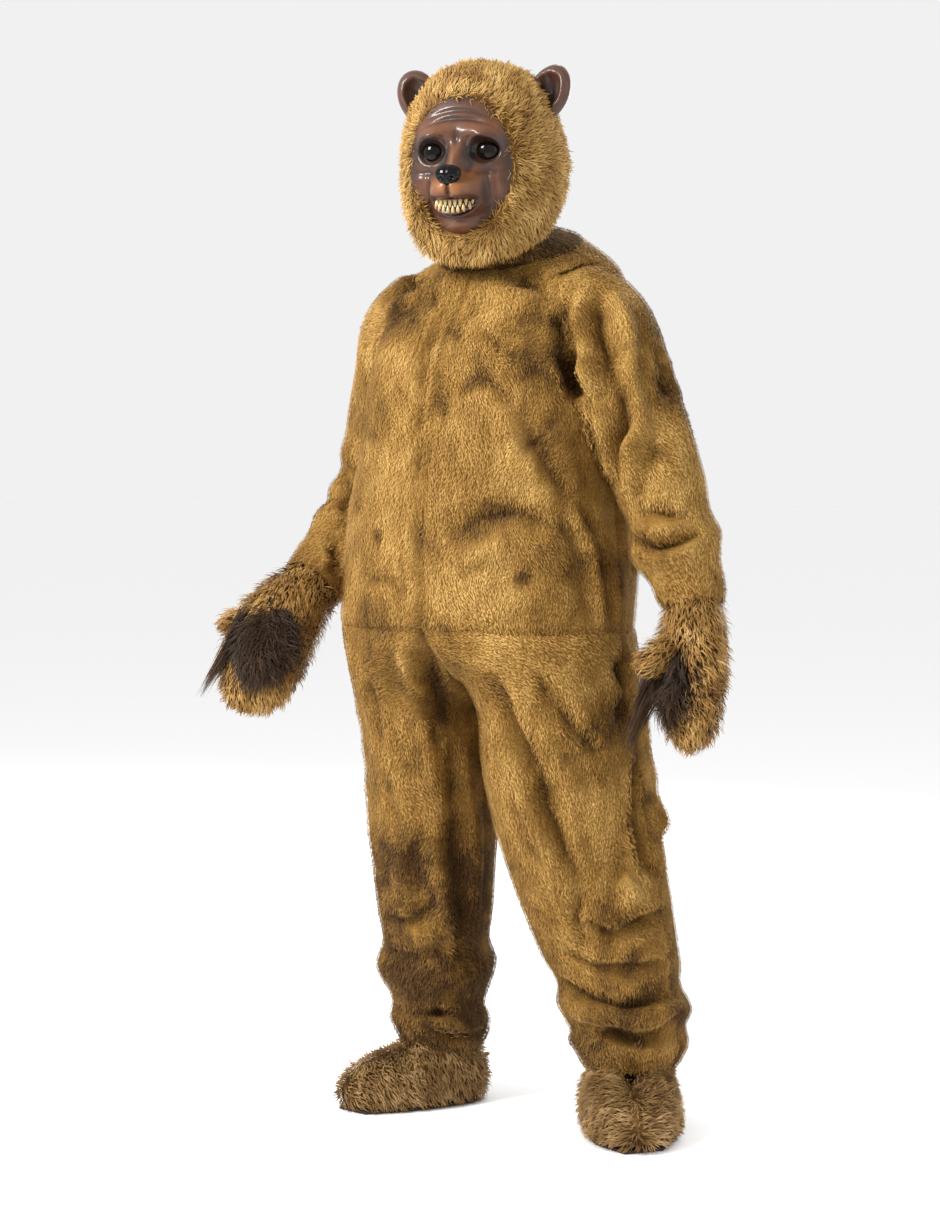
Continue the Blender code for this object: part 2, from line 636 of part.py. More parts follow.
# Arms: a path with frames that turn as little as they can along it
class Arm:
    """One sleeve and mitt along a smooth path, measured by the distance from the shoulder."""

    STEPS = 80

    def __init__(self, side):
        self.side = side
        self.rows = SLEEVES[side] + HANDS[side]
        self.centres = [Vector((side * row.x + ARM_LEAN, row.y, row.z)) for row in self.rows]
        self.marks = [0.0]
        for a, b in zip(self.centres, self.centres[1:]):
            self.marks.append(self.marks[-1] + (b - a).length)
        self.cuff = self.marks[len(SLEEVES[side]) - 1]
        self.length = self.marks[-1]
        self.frames = []
        upper = Vector((0, 0, 1))
        for n in range(self.STEPS + 1):
            along = self.direction(self.length * n / self.STEPS)
            upper = (upper - along * upper.dot(along)).normalized()
            front = along.cross(upper) * -side
            self.frames.append((upper, front if front.y < 0 else -front))

    def centre(self, at):
        return Vector([curve_value(self.marks, [c[axis] for c in self.centres], at) for axis in range(3)])

    def direction(self, at):
        probe = 0.006
        return (self.centre(min(at + probe, self.length)) - self.centre(max(at - probe, 0))).normalized()

    def frame(self, at):
        place = min(max(at / self.length, 0), 1) * self.STEPS
        n = min(int(place), self.STEPS - 1)
        return [a.lerp(b, place - n).normalized() for a, b in zip(self.frames[n], self.frames[n + 1])]

    def facing(self, at, turn):
        """The direction out of the arm at a turn in degrees: 0 is the outer side and 90 the front."""
        upper, front = self.frame(at)
        return upper * math.cos(math.radians(turn)) + front * math.sin(math.radians(turn))

    def sleeve_point(self, at, turn, inset):
        half_width = curve_value(self.marks, [row.half_width for row in self.rows], at)
        half_depth = curve_value(self.marks, [row.half_depth for row in self.rows], at)
        lift = cloth_lift(SLEEVE_FOLDS[self.side], SLEEVE_ROLLS[self.side], turn, at, half_depth) - inset
        upper, front = self.frame(at)
        angle = math.radians(turn)
        across = upper * math.cos(angle) * (half_width + lift)
        return self.centre(at) + across + front * math.sin(angle) * (half_depth + lift)

    def hand_point(self, at, turn, inset):
        """A point of the mitt, whose oval section is thin towards the palm."""
        half_width = curve_value(self.marks, [row.half_width for row in self.rows], at)
        half_depth = curve_value(self.marks, [row.half_depth for row in self.rows], at)
        angle = math.radians(turn - PALM_TURN[self.side])
        reach = 1 / math.hypot(math.sin(angle) / half_width, math.cos(angle) / half_depth)
        return self.centre(at) + self.facing(at, turn) * (reach - inset)


arms = {side: Arm(side) for side in SIDE_NAMES}
TURNS = [360 * i / SLEEVE_COLUMNS for i in range(SLEEVE_COLUMNS)]


def sleeve_stations(arm):
    return [arm.cuff * j / SLEEVE_ROWS for j in range(SLEEVE_ROWS + 1)]


def make_sleeve(side, side_name):
    """A sleeve that fills its armhole: the torso is cut by it, and it ends at the torso's inside."""
    arm, name = arms[side], f"sleeve_{side_name}"
    outer, inner, grown = (
        [[arm.sleeve_point(at, turn, inset) for turn in TURNS] for at in sleeve_stations(arm)]
        for inset in (0.0, PLUSH, -SEAM_GAP)
    )
    piece = add_piece(name, wall_mesh(name, outer, inner, around=True), "plush", floor_frame)
    combine(piece, torso_hollow)
    grown.insert(0, [point - arm.direction(0) * PLUSH for point in grown[0]])
    armhole = add_cutter(f"{name}_armhole", filled_mesh(f"{name}_armhole", grown), floor_frame)
    for quarter in (1, -1):
        combine(torso_panels[side, quarter], armhole)


def mitt_rings(arm, inset):
    """A mitt's rings: its cuff follows the inside of the sleeve, and the hand then closes at the tip."""
    under = PLUSH + CUFF_GAP + inset
    cuff_stations = sleeve_stations(arm)[-1 - CUFF_ROWS:]
    cuff = [[arm.sleeve_point(at, turn, under) for turn in TURNS] for at in cuff_stations]
    hand_marks = arm.marks[len(SLEEVES[arm.side]):-1]
    hand = [[arm.hand_point(at, turn, inset) for turn in TURNS] for at in hand_marks]
    tip = arm.centre(arm.length) - arm.direction(arm.length) * inset
    return cuff + hand + [[tip]]


def make_mitt(side, side_name):
    arm, name = arms[side], f"mitt_{side_name}"
    rings = {inset: mitt_rings(arm, inset) for inset in (0.0, LONG_FUR)}
    mitt_mesh = wall_mesh(name, rings[0.0], rings[LONG_FUR], around=True)
    mitt = add_piece(name, mitt_mesh, "long_fur", floor_frame)

    palm_at = arm.marks[len(SLEEVES[side]) + 2]
    middle, facing = arm.centre(palm_at), arm.facing(palm_at, PALM_TURN[side])
    sizes = {"hole": 0.0, "patch": SEAM_GAP}
    prisms = {}
    for use, shrink in sizes.items():
        half_sizes = [size - shrink for size in PALM_SIZE]
        across = arm.facing(palm_at, PALM_TURN[side] + 90)
        mesh = prism_mesh(f"palm_{use}_{side_name}", middle, facing, across, half_sizes, PALM_CUT)
        prisms[use] = add_cutter(f"palm_{use}_{side_name}", mesh, floor_frame)
    palm = add_piece(f"palm_{side_name}", mitt_mesh.copy(), "palm_fur", floor_frame)
    combine(palm, prisms["patch"], "INTERSECT")
    combine(mitt, prisms["hole"])

    thumb = THUMBS[side]
    root = Vector((side * thumb.x + ARM_LEAN, thumb.y, thumb.z))
    reach = Vector((side * thumb.reach_x, thumb.reach_y, thumb.reach_z))
    level = reach.cross(Vector((0, 0, 1))).normalized()
    across = level.cross(reach).normalized()

    def thumb_rings(inset):
        rings = []
        for share, radius in THUMB_RINGS:
            middle_point = root + reach * share
            if radius == 0:
                rings.append([middle_point - reach.normalized() * inset])
                continue
            rings.append([
                middle_point + (level * math.cos(angle) + across * math.sin(angle)) * (radius - inset)
                for angle in (2 * math.pi * i / THUMB_COLUMNS for i in range(THUMB_COLUMNS))
            ])
        return rings

    wall = wall_mesh(f"thumb_{side_name}", thumb_rings(0.0), thumb_rings(LONG_FUR), around=True)
    piece = add_piece(f"thumb_{side_name}", wall, "long_fur", floor_frame)
    inside = add_cutter(f"mitt_inside_{side_name}", filled_mesh(name, rings[LONG_FUR]), floor_frame)
    hole = add_cutter(f"thumb_hole_{side_name}", filled_mesh(name, thumb_rings(-SEAM_GAP)), floor_frame)
    combine(piece, inside)
    combine(mitt, hole)
    combine(palm, hole)


def lock_reach(spread, run):
    """How far a lock has gone after a run along it: every lock bends down alike, so that none cross."""
    return spread * run + Vector((0, 0, -LOCK_DROOP * run * run))


def make_locks(side, side_name):
    """A narrow strip beside the palm, with one face of each stretch drawn out into a drooping lock."""
    arm, strip, lengths = arms[side], LOCK_STRIPS[side], LOCK_LENGTHS[side]
    middle_at = arm.marks[len(SLEEVES[side]) + 2]
    turn = PALM_TURN[side] + strip.away
    mesh = bmesh.new()
    rows = []
    for k in range(len(lengths) + 1):
        at = middle_at + strip.start + k * strip.spacing
        out, along = arm.facing(at, turn), arm.direction(at)
        level = along.cross(out).normalized()
        root = arm.hand_point(at, turn, -strip.half_size / 2)
        corners = [root + (level * a + out * b) * strip.half_size for a, b in STRIP_CORNERS]
        rows.append([mesh.verts.new(corner) for corner in corners])
    mesh.faces.new(rows[0])
    mesh.faces.new(rows[-1])
    spread = Vector((strip.spread_x, strip.spread_y, strip.spread_z)).normalized()
    for low, high, length in zip(rows, rows[1:], lengths):
        for a, b in ((0, 1), (1, 2), (3, 0)):
            mesh.faces.new((low[a], low[b], high[b], high[a]))
        ring = [low[2], low[3], high[3], high[2]]
        middle = sum((vert.co for vert in ring), Vector()) / 4
        offsets = [vert.co - middle for vert in ring]
        for share, width in LOCK_RINGS:
            place = middle + lock_reach(spread, length * share)
            above = [mesh.verts.new(place + offset * width) for offset in offsets]
            for i in range(4):
                mesh.faces.new((ring[i], ring[(i + 1) % 4], above[(i + 1) % 4], above[i]))
            ring = above
        tip = mesh.verts.new(middle + lock_reach(spread, length))
        for i in range(4):
            mesh.faces.new((ring[i], ring[(i + 1) % 4], tip))
    name = f"palm_locks_{side_name}"
    piece = add_piece(name, finished(mesh, name), "palm_fur", floor_frame)
    outside = filled_mesh(f"mitt_outside_{side_name}", mitt_rings(arm, -2 * SEAM_GAP))
    combine(piece, add_cutter(f"mitt_outside_{side_name}", outside, floor_frame))


for arm_side, arm_side_name in SIDE_NAMES.items():
    make_sleeve(arm_side, arm_side_name)
    make_mitt(arm_side, arm_side_name)
    make_locks(arm_side, arm_side_name)


# Foot covers and soles
def leg_ring(side, height, inset):
    """A whole ring of a trouser leg, at the columns of its front and back panels."""
    turns = [math.pi * i / LEG_COLUMNS for i in range(2 * LEG_COLUMNS)]
    folds, rolls = LEG_FOLDS[side], LEG_ROLLS[side]
    return [leg_or_torso_point(side, LEGS[side], folds, rolls, height, turn, inset) for turn in turns]


def foot_ring(side, section, inset):
    """An oval about the ankle, longer towards the toe."""
    ankle = section_at(LEGS[side], HEM)
    heading = math.radians(90 - FOOT_HEADING[side])
    points = []
    for i in range(2 * LEG_COLUMNS):
        turn = math.pi * i / LEG_COLUMNS
        along, across = math.cos(turn - heading), math.sin(turn - heading)
        length = section.toe if along > 0 else section.heel
        power = section.squareness
        share = abs(along / length) ** power + abs(across / section.half_width) ** power
        reach = share ** (-1 / power) - inset
        x = side * (ankle.centre_x + reach * math.cos(turn))
        points.append(Vector((x, ankle.centre_y - reach * math.sin(turn), section.height)))
    return points


def make_foot(side, side_name):
    sheets = []
    for inset in (0.0, LONG_FUR):
        under = PLUSH + CUFF_GAP + inset
        rings = [foot_ring(side, section, inset) for section in FEET[side]]
        rings += [leg_ring(side, height, under) for height in LEG_HEIGHTS[:CUFF_ROWS + 1]]
        sheets.append(rings)
    name = f"foot_{side_name}"
    add_piece(name, wall_mesh(name, *sheets, around=True), "long_fur", floor_frame)
    edge = foot_ring(side, FEET[side][0], 0.0)
    flat = [[Vector((point.x, point.y, height)) for point in edge] for height in (0.0, SOLE_FELT)]
    add_piece(f"sole_{side_name}", filled_mesh(f"sole_{side_name}", flat), "sole_felt", floor_frame)


for foot_side, foot_side_name in SIDE_NAMES.items():
    make_foot(foot_side, foot_side_name)


# Hood
def hood_point(section, turn, shrink):
    depth = section.front if math.sin(turn) > 0 else section.back
    x, y = math.cos(turn) * section.half_width * shrink, -math.sin(turn) * depth * shrink
    return Vector((x, y, section.height + section.rise * (y / section.half_width) / 2))


def hood_rings(inset):
    """The hood's rings from the neck to the crown, closer together near the crown."""
    low, high = HEAD[0].height, HEAD[-1].height
    shrink = 1 - inset / max(section.half_width for section in HEAD)
    rings = []
    for j in range(HOOD_ROWS):
        section = section_at(HEAD, between(low, high, math.sin(math.pi / 2 * j / HOOD_ROWS)))
        if section.height > 0:
            section = section._replace(height=section.height * shrink)
        turns = [2 * math.pi * i / HOOD_COLUMNS for i in range(HOOD_COLUMNS)]
        rings.append([hood_point(section, turn, shrink) for turn in turns])
    return rings + [[Vector((0, 0, high * shrink))]]


def face_oval(share, depth):
    """The points of an oval, a share of the face's size, at a depth behind the head's middle."""
    points = []
    for i in range(MASK_SPOKES):
        angle = 2 * math.pi * i / MASK_SPOKES
        x, z = FACE_SIZE[0] * share * math.cos(angle), FACE_SIZE[1] * share * math.sin(angle)
        points.append(Vector((x, depth, FACE_CENTRE + z)))
    return points


def half_space(name, side):
    """A box over the other side of the head, up to half a seam gap past the middle."""
    box = 3 * max(section.half_width for section in HEAD)
    mesh = bmesh.new()
    bmesh.ops.create_cube(mesh, size=1)
    place = Matrix.Translation((side * (SEAM_GAP - box) / 2, 0, 0)) @ Matrix.Scale(box, 4)
    bmesh.ops.transform(mesh, matrix=place, verts=mesh.verts)
    return add_cutter(name, finished(mesh, name), head_frame)


def make_hood():
    wall = wall_mesh("hood", hood_rings(0.0), hood_rings(LONG_FUR), around=True)
    prism = filled_mesh("face_hole", [face_oval(1.0, depth) for depth in FACE_HOLE])
    face_hole = add_cutter("face_hole", prism, head_frame)
    for side, side_name in SIDE_NAMES.items():
        piece = add_piece(f"hood_{side_name}", wall.copy(), "head_fur", head_frame)
        combine(piece, half_space(f"other_side_of_{side_name}", side))
        combine(piece, face_hole)


def to_floor_frame(point):
    turn = Euler((math.radians(HEAD_NOD), 0, math.radians(HEAD_TURN))).to_matrix()
    return turn @ point + Vector(HEAD_CENTRE)


def make_collar():
    """The neck band, sewn to the torso's neck edge, whose upper part lies against the hood's inside."""
    sheets = []
    turn_back = math.radians(HEAD_TURN)
    section = section_at(TORSO, NECK_SEAM)
    for inset in (0.0, COLLAR):
        angles = [2 * math.pi * i / HOOD_COLUMNS for i in range(HOOD_COLUMNS)]
        seam = Vector((lean_at(NECK_SEAM), 0, SEAM_GAP))
        low = [body_outline(LEFT, section, angle - turn_back, inset, 0) + seam for angle in angles]
        high = hood_rings(LONG_FUR + CUFF_GAP + inset)[:2]
        under_rim = [point - Vector((0, 0, RIM_DROP)) for point in high[0]]
        looser = hood_rings(LONG_FUR + COLLAR_SLACK * CUFF_GAP + inset)[:2]
        top = [a.lerp(b, COLLAR_REACH) for a, b in zip(*looser)]
        upper = [[to_floor_frame(point) for point in ring] for ring in (under_rim, high[0], top)]
        sheets.append([low] + upper)
    add_piece("collar", wall_mesh("collar", *sheets, around=True), "plush", floor_frame)


make_hood()
make_collar()


# Face
def face_height(x, z, mouth=True):
    """How far the face stands out at a place, in front of the head's middle."""
    level = z - FACE_CENTRE
    base = FACE_DEPTH * math.sqrt(max(0.0, 1 - (x / FACE_BEND[0]) ** 2 - (level / FACE_BEND[1]) ** 2))
    for form in FACE_FORMS + ([MOUTH] if mouth else []):
        for sign in (1, -1):
            share = ((x - sign * form.x) / form.half_width) ** 2 + ((z - form.z) / form.half_height) ** 2
            base += form.lift * math.exp(-share) * (1 if form.x else 0.5)
    return base


def face_rings(lift):
    """Rings from the face's edge to its middle, a given lift in front of its surface."""
    clear_of_hood = 1 - 2 * SEAM_GAP / FACE_SIZE[0]
    rings = [face_oval(clear_of_hood * (1 - j / MASK_RINGS), 0) for j in range(MASK_RINGS)]
    rings.append([Vector((0, 0, FACE_CENTRE))])
    return [[Vector((p.x, -face_height(p.x, p.z) - lift, p.z)) for p in ring] for ring in rings]


def make_face():
    mask = wall_mesh("mask", face_rings(0.0), face_rings(-LATEX), around=True)
    add_piece("mask", mask, "latex", head_frame)
    front = face_rings(2 * SEAM_GAP)
    back = [Vector((point.x, 0, point.z)) for point in front[0]]
    behind = add_cutter("behind_the_face", filled_mesh("behind_the_face", [back] + front), head_frame)

    for side, side_name in SIDE_NAMES.items():
        centre = (side * EYE.x, -face_height(EYE.x, EYE.z) + EYE.set_back, EYE.z)
        mesh = ellipsoid_mesh(f"eye_{side_name}", centre, [EYE.radius] * 3, segments=18, rings=10)
        combine(add_piece(f"eye_{side_name}", mesh, "black_plastic", head_frame), behind)
    nose_centre = (0, -face_height(0, NOSE_HEIGHT) + NOSE_SET_BACK, NOSE_HEIGHT)
    nose_mesh = ellipsoid_mesh("nose", nose_centre, NOSE_SIZE, segments=14, rings=8)
    combine(add_piece("nose", nose_mesh, "black_plastic", head_frame), behind)

    for row_name, sign in (("upper", 1), ("lower", -1)):
        add_teeth(f"teeth_{row_name}", sign, behind)


def add_teeth(name, sign, behind):
    """A row of teeth in one strip whose free edge rises and falls, standing in the mouth."""
    steps = TEETH * STEPS_PER_TOOTH
    sheets = []
    for back in (0.0, 1.0):
        rows = []
        for level in (0.0, 1.0):
            row = []
            for i in range(steps + 1):
                share = i / steps
                x = between(-TEETH_HALF_WIDTH, TEETH_HALF_WIDTH, share)
                tooth = abs(math.sin(math.pi * share * TEETH))
                bite = BITE * (1 - (x / BITE_CLOSES_AT) ** 2)
                z = MOUTH.z + sign * bite * (1 - level * (GUM_SHARE + TOOTH_SHARE * tooth))
                depth = TOOTH_SET_BACK + back * (TOOTH_DEPTH + GUM_DEPTH * (1 - level) ** 2)
                y = -face_height(x, MOUTH.z, mouth=False) + depth
                row.append(Vector((x, y, z)))
            rows.append(row)
        sheets.append(rows)
    combine(add_piece(name, wall_mesh(name, *sheets), "tooth", head_frame), behind)


def make_ears():
    """Cupped ears, seated on the hood."""
    under_ears = add_cutter("under_ears", filled_mesh("under_ears", hood_rings(-SEAM_GAP)), head_frame)
    for side, side_name in SIDE_NAMES.items():
        centre = Vector((side * EAR_CENTRE[0], EAR_CENTRE[1], EAR_CENTRE[2]))
        turn = (EAR_TURN[0], side * EAR_TURN[1], side * EAR_TURN[2])
        shell = ellipsoid_mesh(f"ear_{side_name}", centre, EAR_SIZE, turn, 14, 8)
        piece = add_piece(f"ear_{side_name}", shell, "latex", head_frame)
        cup_centre = centre + Vector(EAR_CUP_SHIFT)
        cup = ellipsoid_mesh(f"ear_cup_{side_name}", cup_centre, EAR_CUP_SIZE, turn, 14, 8)
        combine(piece, add_cutter(f"ear_cup_{side_name}", cup, head_frame))
        combine(piece, under_ears)


make_face()
make_ears()
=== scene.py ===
"""A worn bear costume: a golden-brown plush jumpsuit, long-pile mitts and foot covers, and a furry hood with a
moulded face. It faces -Y, +X is the wearer's left, and lengths are metres from the hold between the shoulders.
"""

import math
from collections import namedtuple

import bmesh
import bpy
import numpy as np
from mathutils import Euler, Matrix, Vector, kdtree, noise
from mathutils.bvhtree import BVHTree


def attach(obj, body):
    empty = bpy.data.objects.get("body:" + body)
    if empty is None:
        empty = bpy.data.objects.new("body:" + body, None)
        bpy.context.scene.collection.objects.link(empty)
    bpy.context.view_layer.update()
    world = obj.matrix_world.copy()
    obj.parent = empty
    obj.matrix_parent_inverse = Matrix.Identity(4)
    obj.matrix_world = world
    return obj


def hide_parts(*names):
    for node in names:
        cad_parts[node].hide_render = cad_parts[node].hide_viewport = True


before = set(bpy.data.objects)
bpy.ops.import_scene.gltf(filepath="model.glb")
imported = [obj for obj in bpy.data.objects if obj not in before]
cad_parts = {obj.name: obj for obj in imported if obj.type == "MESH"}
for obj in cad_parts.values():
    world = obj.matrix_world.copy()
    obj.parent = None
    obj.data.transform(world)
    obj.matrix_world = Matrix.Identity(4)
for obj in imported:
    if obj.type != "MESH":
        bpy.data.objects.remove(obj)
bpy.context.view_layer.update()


# Jumpsuit
# The suit is sewn from four body panels, a front and a back for each leg, a one-piece sleeve each side and a neck
# band, in acrylic plush with a short pile on a knitted backing. It closes down the centre front, hangs in folds at
# the shoulders, elbows and crotch, and stacks in rings at the ankles. Wear has brushed its nap light and dark.
def linear(hex_colour):
    """An sRGB hex colour as linear RGBA."""
    parts = [int(hex_colour[i:i + 2], 16) / 255 for i in (1, 3, 5)]
    return (*(c / 12.92 if c <= 0.04045 else ((c + 0.055) / 1.055) ** 2.4 for c in parts), 1.0)


def add_node(tree, kind, inputs=None, stops=(), **settings):
    """Adds a node, sets its properties, its inputs by name or number, and a ramp's stops."""
    made = tree.nodes.new(kind)
    for name, value in settings.items():
        setattr(made, name, value)
    for key, value in (inputs or {}).items():
        if isinstance(value, bpy.types.NodeSocket):
            tree.links.new(value, made.inputs[key])
        else:
            made.inputs[key].default_value = value
    for n, (position, colour) in enumerate(stops):
        if n == len(made.color_ramp.elements):
            made.color_ramp.elements.new(position)
        made.color_ramp.elements[n].position = position
        made.color_ramp.elements[n].color = linear(colour)
    return made


def pile_material(name, roots, dark, middle, light, roughness, sheen):
    """Acrylic pile: dark at the roots, and from dark to light by how the strand has been brushed."""
    material = bpy.data.materials.new(name)
    material.use_nodes = True
    tree = material.node_tree
    surface = tree.nodes["Principled BSDF"]
    shade = add_node(tree, "ShaderNodeAttribute", attribute_name="shade")
    along = add_node(tree, "ShaderNodeAttribute", attribute_name="along")
    body = add_node(tree, "ShaderNodeValToRGB", {"Fac": shade.outputs["Fac"]},
                    [(0.0, dark), (0.5, middle), (1.0, light)])
    depth = add_node(tree, "ShaderNodeValToRGB", {"Fac": along.outputs["Fac"]},
                     [(0.0, "#000000"), (0.5, "#FFFFFF")])
    mixed = add_node(tree, "ShaderNodeMix", {
        0: depth.outputs["Color"], 6: linear(roots), 7: body.outputs["Color"]}, data_type="RGBA")
    tree.links.new(mixed.outputs[2], surface.inputs["Base Color"])
    surface.inputs["Roughness"].default_value = roughness
    surface.inputs["Specular IOR Level"].default_value = 0.25
    surface.inputs["Sheen Weight"].default_value = sheen
    surface.inputs["Sheen Roughness"].default_value = 0.4
    surface.inputs["Sheen Tint"].default_value = linear("#E8C98A")
    return material


def backing_material(name, dark, middle, light):
    """The knitted backing and the roots of the pile close on it, 3 mm apart, as dark as the nap above them."""
    material = bpy.data.materials.new(name)
    material.use_nodes = True
    tree = material.node_tree
    surface = tree.nodes["Principled BSDF"]
    place = add_node(tree, "ShaderNodeTexCoord")
    roots = add_node(tree, "ShaderNodeTexNoise", {"Vector": place.outputs["Object"], "Scale": 330.0, "Detail": 2.0})
    shade = add_node(tree, "ShaderNodeAttribute", attribute_name="shade")
    uneven = add_node(tree, "ShaderNodeMath", {0: roots.outputs["Fac"], 1: 0.9, 2: -0.45},
                      operation="MULTIPLY_ADD")
    level = add_node(tree, "ShaderNodeMath", {0: shade.outputs["Fac"], 1: uneven.outputs[0]}, operation="ADD")
    colour = add_node(tree, "ShaderNodeValToRGB", {"Fac": level.outputs[0]},
                      [(0.0, dark), (0.5, middle), (1.0, light)])
    bump = add_node(tree, "ShaderNodeBump", {"Height": roots.outputs["Fac"], "Distance": 0.002, "Strength": 0.8})
    tree.links.new(colour.outputs["Color"], surface.inputs["Base Color"])
    tree.links.new(bump.outputs["Normal"], surface.inputs["Normal"])
    surface.inputs["Roughness"].default_value = 0.95
    surface.inputs["Specular IOR Level"].default_value = 0.1
    return material


def strand_mesh(name, widths):
    """One tapered strand of unit length along Z, bowed a little towards its lying side."""
    count = len(widths) + 1
    points, along, faces = [(0, 0, 0)], [0.0], []
    for n, width in enumerate(widths, 1):
        share = n / count
        bow = 0.16 * math.sin(math.pi * share)
        points += [(-width / 2, bow, share), (width / 2, bow, share)]
        along += [share, share]
    points.append((0, -0.05, 1))
    along.append(1.0)
    faces.append((0, 2, 1))
    for n in range(len(widths) - 1):
        a = 1 + 2 * n
        faces += [(a, a + 1, a + 3), (a, a + 3, a + 2)]
    faces.append((len(points) - 3, len(points) - 2, len(points) - 1))
    mesh = bpy.data.meshes.new(name)
    mesh.from_pydata(points, [], faces)
    mesh.shade_smooth()
    mesh.attributes.new("along", "FLOAT", "POINT").data.foreach_set("value", along)
    return bpy.data.objects.new(name, mesh)


def pile_nodes():
    """Strands over a cloth's outer face, which lie along its nap and draw together in small tufts."""
    tree = bpy.data.node_groups.new("pile on cloth", "GeometryNodeTree")
    face = tree.interface
    face.new_socket("Cloth", in_out="INPUT", socket_type="NodeSocketGeometry")
    face.new_socket("Strand", in_out="INPUT", socket_type="NodeSocketObject")
    face.new_socket("Material", in_out="INPUT", socket_type="NodeSocketMaterial")
    for name in ("Strands per square metre", "Length", "Width", "Lift", "Spread", "Tuft size"):
        face.new_socket(name, in_out="INPUT", socket_type="NodeSocketFloat")
    face.new_socket("Seed", in_out="INPUT", socket_type="NodeSocketInt")
    face.new_socket("Pile", in_out="OUTPUT", socket_type="NodeSocketGeometry")
    given = add_node(tree, "NodeGroupInput").outputs
    points = add_node(tree, "GeometryNodeDistributePointsOnFaces", {
        "Mesh": given["Cloth"], "Density": given["Strands per square metre"], "Seed": given["Seed"]})
    nap = add_node(tree, "GeometryNodeInputNamedAttribute", {"Name": "nap"}, data_type="FLOAT_VECTOR")
    pile = add_node(tree, "GeometryNodeInputNamedAttribute", {"Name": "pile"}, data_type="FLOAT")
    tone = add_node(tree, "GeometryNodeInputNamedAttribute", {"Name": "tone"}, data_type="FLOAT")
    place = add_node(tree, "GeometryNodeInputPosition")
    per_metre = add_node(tree, "ShaderNodeMath", {0: 1.0, 1: given["Tuft size"]}, operation="DIVIDE")
    tufts = add_node(tree, "ShaderNodeTexNoise", {
        "Vector": place.outputs[0], "Scale": per_metre.outputs[0], "Detail": 1.0})
    pull = add_node(tree, "ShaderNodeVectorMath", {0: tufts.outputs["Color"], 1: (0.5, 0.5, 0.5)},
                    operation="SUBTRACT")
    tufted = add_node(tree, "ShaderNodeVectorMath", {0: pull.outputs[0], "Scale": 2.6}, operation="SCALE")
    stray = add_node(tree, "FunctionNodeRandomValue", {0: (-1, -1, -1), 1: (1, 1, 1), "Seed": 3},
                     data_type="FLOAT_VECTOR")
    aside = add_node(tree, "ShaderNodeVectorMath", {0: tufted.outputs[0], 1: stray.outputs[0]}, operation="ADD")
    spread = add_node(tree, "ShaderNodeVectorMath", {0: aside.outputs[0], "Scale": given["Spread"]},
                      operation="SCALE")
    lying = add_node(tree, "ShaderNodeVectorMath", {0: nap.outputs[0], 1: spread.outputs[0]}, operation="ADD")
    up = add_node(tree, "ShaderNodeVectorMath", {0: points.outputs["Normal"], "Scale": given["Lift"]},
                  operation="SCALE")
    lifted = add_node(tree, "ShaderNodeVectorMath", {0: lying.outputs[0], 1: up.outputs[0]}, operation="ADD")
    along = add_node(tree, "FunctionNodeAlignRotationToVector", {"Vector": lifted.outputs[0]}, axis="Z")
    flat = add_node(tree, "FunctionNodeAlignRotationToVector", {
        "Rotation": along.outputs[0], "Vector": points.outputs["Normal"]}, axis="Y", pivot_axis="Z")
    uneven = add_node(tree, "FunctionNodeRandomValue", {2: 0.7, 3: 1.3, "Seed": 5}, data_type="FLOAT")
    grown = add_node(tree, "ShaderNodeMath", {0: pile.outputs[0], 1: uneven.outputs[1]}, operation="MULTIPLY")
    length = add_node(tree, "ShaderNodeMath", {0: grown.outputs[0], 1: given["Length"]}, operation="MULTIPLY")
    scale = add_node(tree, "ShaderNodeCombineXYZ", {
        "X": given["Width"], "Y": length.outputs[0], "Z": length.outputs[0]})
    strand = add_node(tree, "GeometryNodeObjectInfo", {"Object": given["Strand"]})
    standing = add_node(tree, "GeometryNodeInstanceOnPoints", {
        "Points": points.outputs["Points"], "Instance": strand.outputs["Geometry"],
        "Rotation": flat.outputs[0], "Scale": scale.outputs[0]})
    own = add_node(tree, "FunctionNodeRandomValue", {2: -0.12, 3: 0.12, "Seed": 7}, data_type="FLOAT")
    tuft_tone = add_node(tree, "ShaderNodeMath", {0: tufts.outputs["Fac"], 1: -0.5}, operation="ADD")
    tuft_share = add_node(tree, "ShaderNodeMath", {0: tuft_tone.outputs[0], 1: 0.5}, operation="MULTIPLY")
    varied = add_node(tree, "ShaderNodeMath", {0: own.outputs[1], 1: tuft_share.outputs[0]}, operation="ADD")
    shade = add_node(tree, "ShaderNodeMath", {0: tone.outputs[0], 1: varied.outputs[0]}, operation="ADD",
                     use_clamp=True)
    shaded = add_node(tree, "GeometryNodeStoreNamedAttribute", {
        "Geometry": standing.outputs[0], "Name": "shade", "Value": shade.outputs[0]},
        data_type="FLOAT", domain="INSTANCE")
    loose = add_node(tree, "GeometryNodeRealizeInstances", {"Geometry": shaded.outputs[0]})
    mesh = loose.outputs[0]
    for name in ("nap", "pile", "tone"):
        mesh = add_node(tree, "GeometryNodeRemoveAttribute", {"Geometry": mesh, "Name": name}).outputs[0]
    shade_again = add_node(tree, "GeometryNodeInputNamedAttribute", {"Name": "shade"}, data_type="FLOAT")
    along_strand = add_node(tree, "GeometryNodeInputNamedAttribute", {"Name": "along"}, data_type="FLOAT")
    chart = add_node(tree, "ShaderNodeCombineXYZ", {"X": shade_again.outputs[0], "Y": along_strand.outputs[0]})
    charted = add_node(tree, "GeometryNodeStoreNamedAttribute", {
        "Geometry": mesh, "Name": "OFBake", "Value": chart.outputs[0]}, data_type="FLOAT2", domain="CORNER")
    coloured = add_node(tree, "GeometryNodeSetMaterial", {
        "Geometry": charted.outputs[0], "Material": given["Material"]})
    add_node(tree, "NodeGroupOutput", {"Pile": coloured.outputs[0]})
    return tree


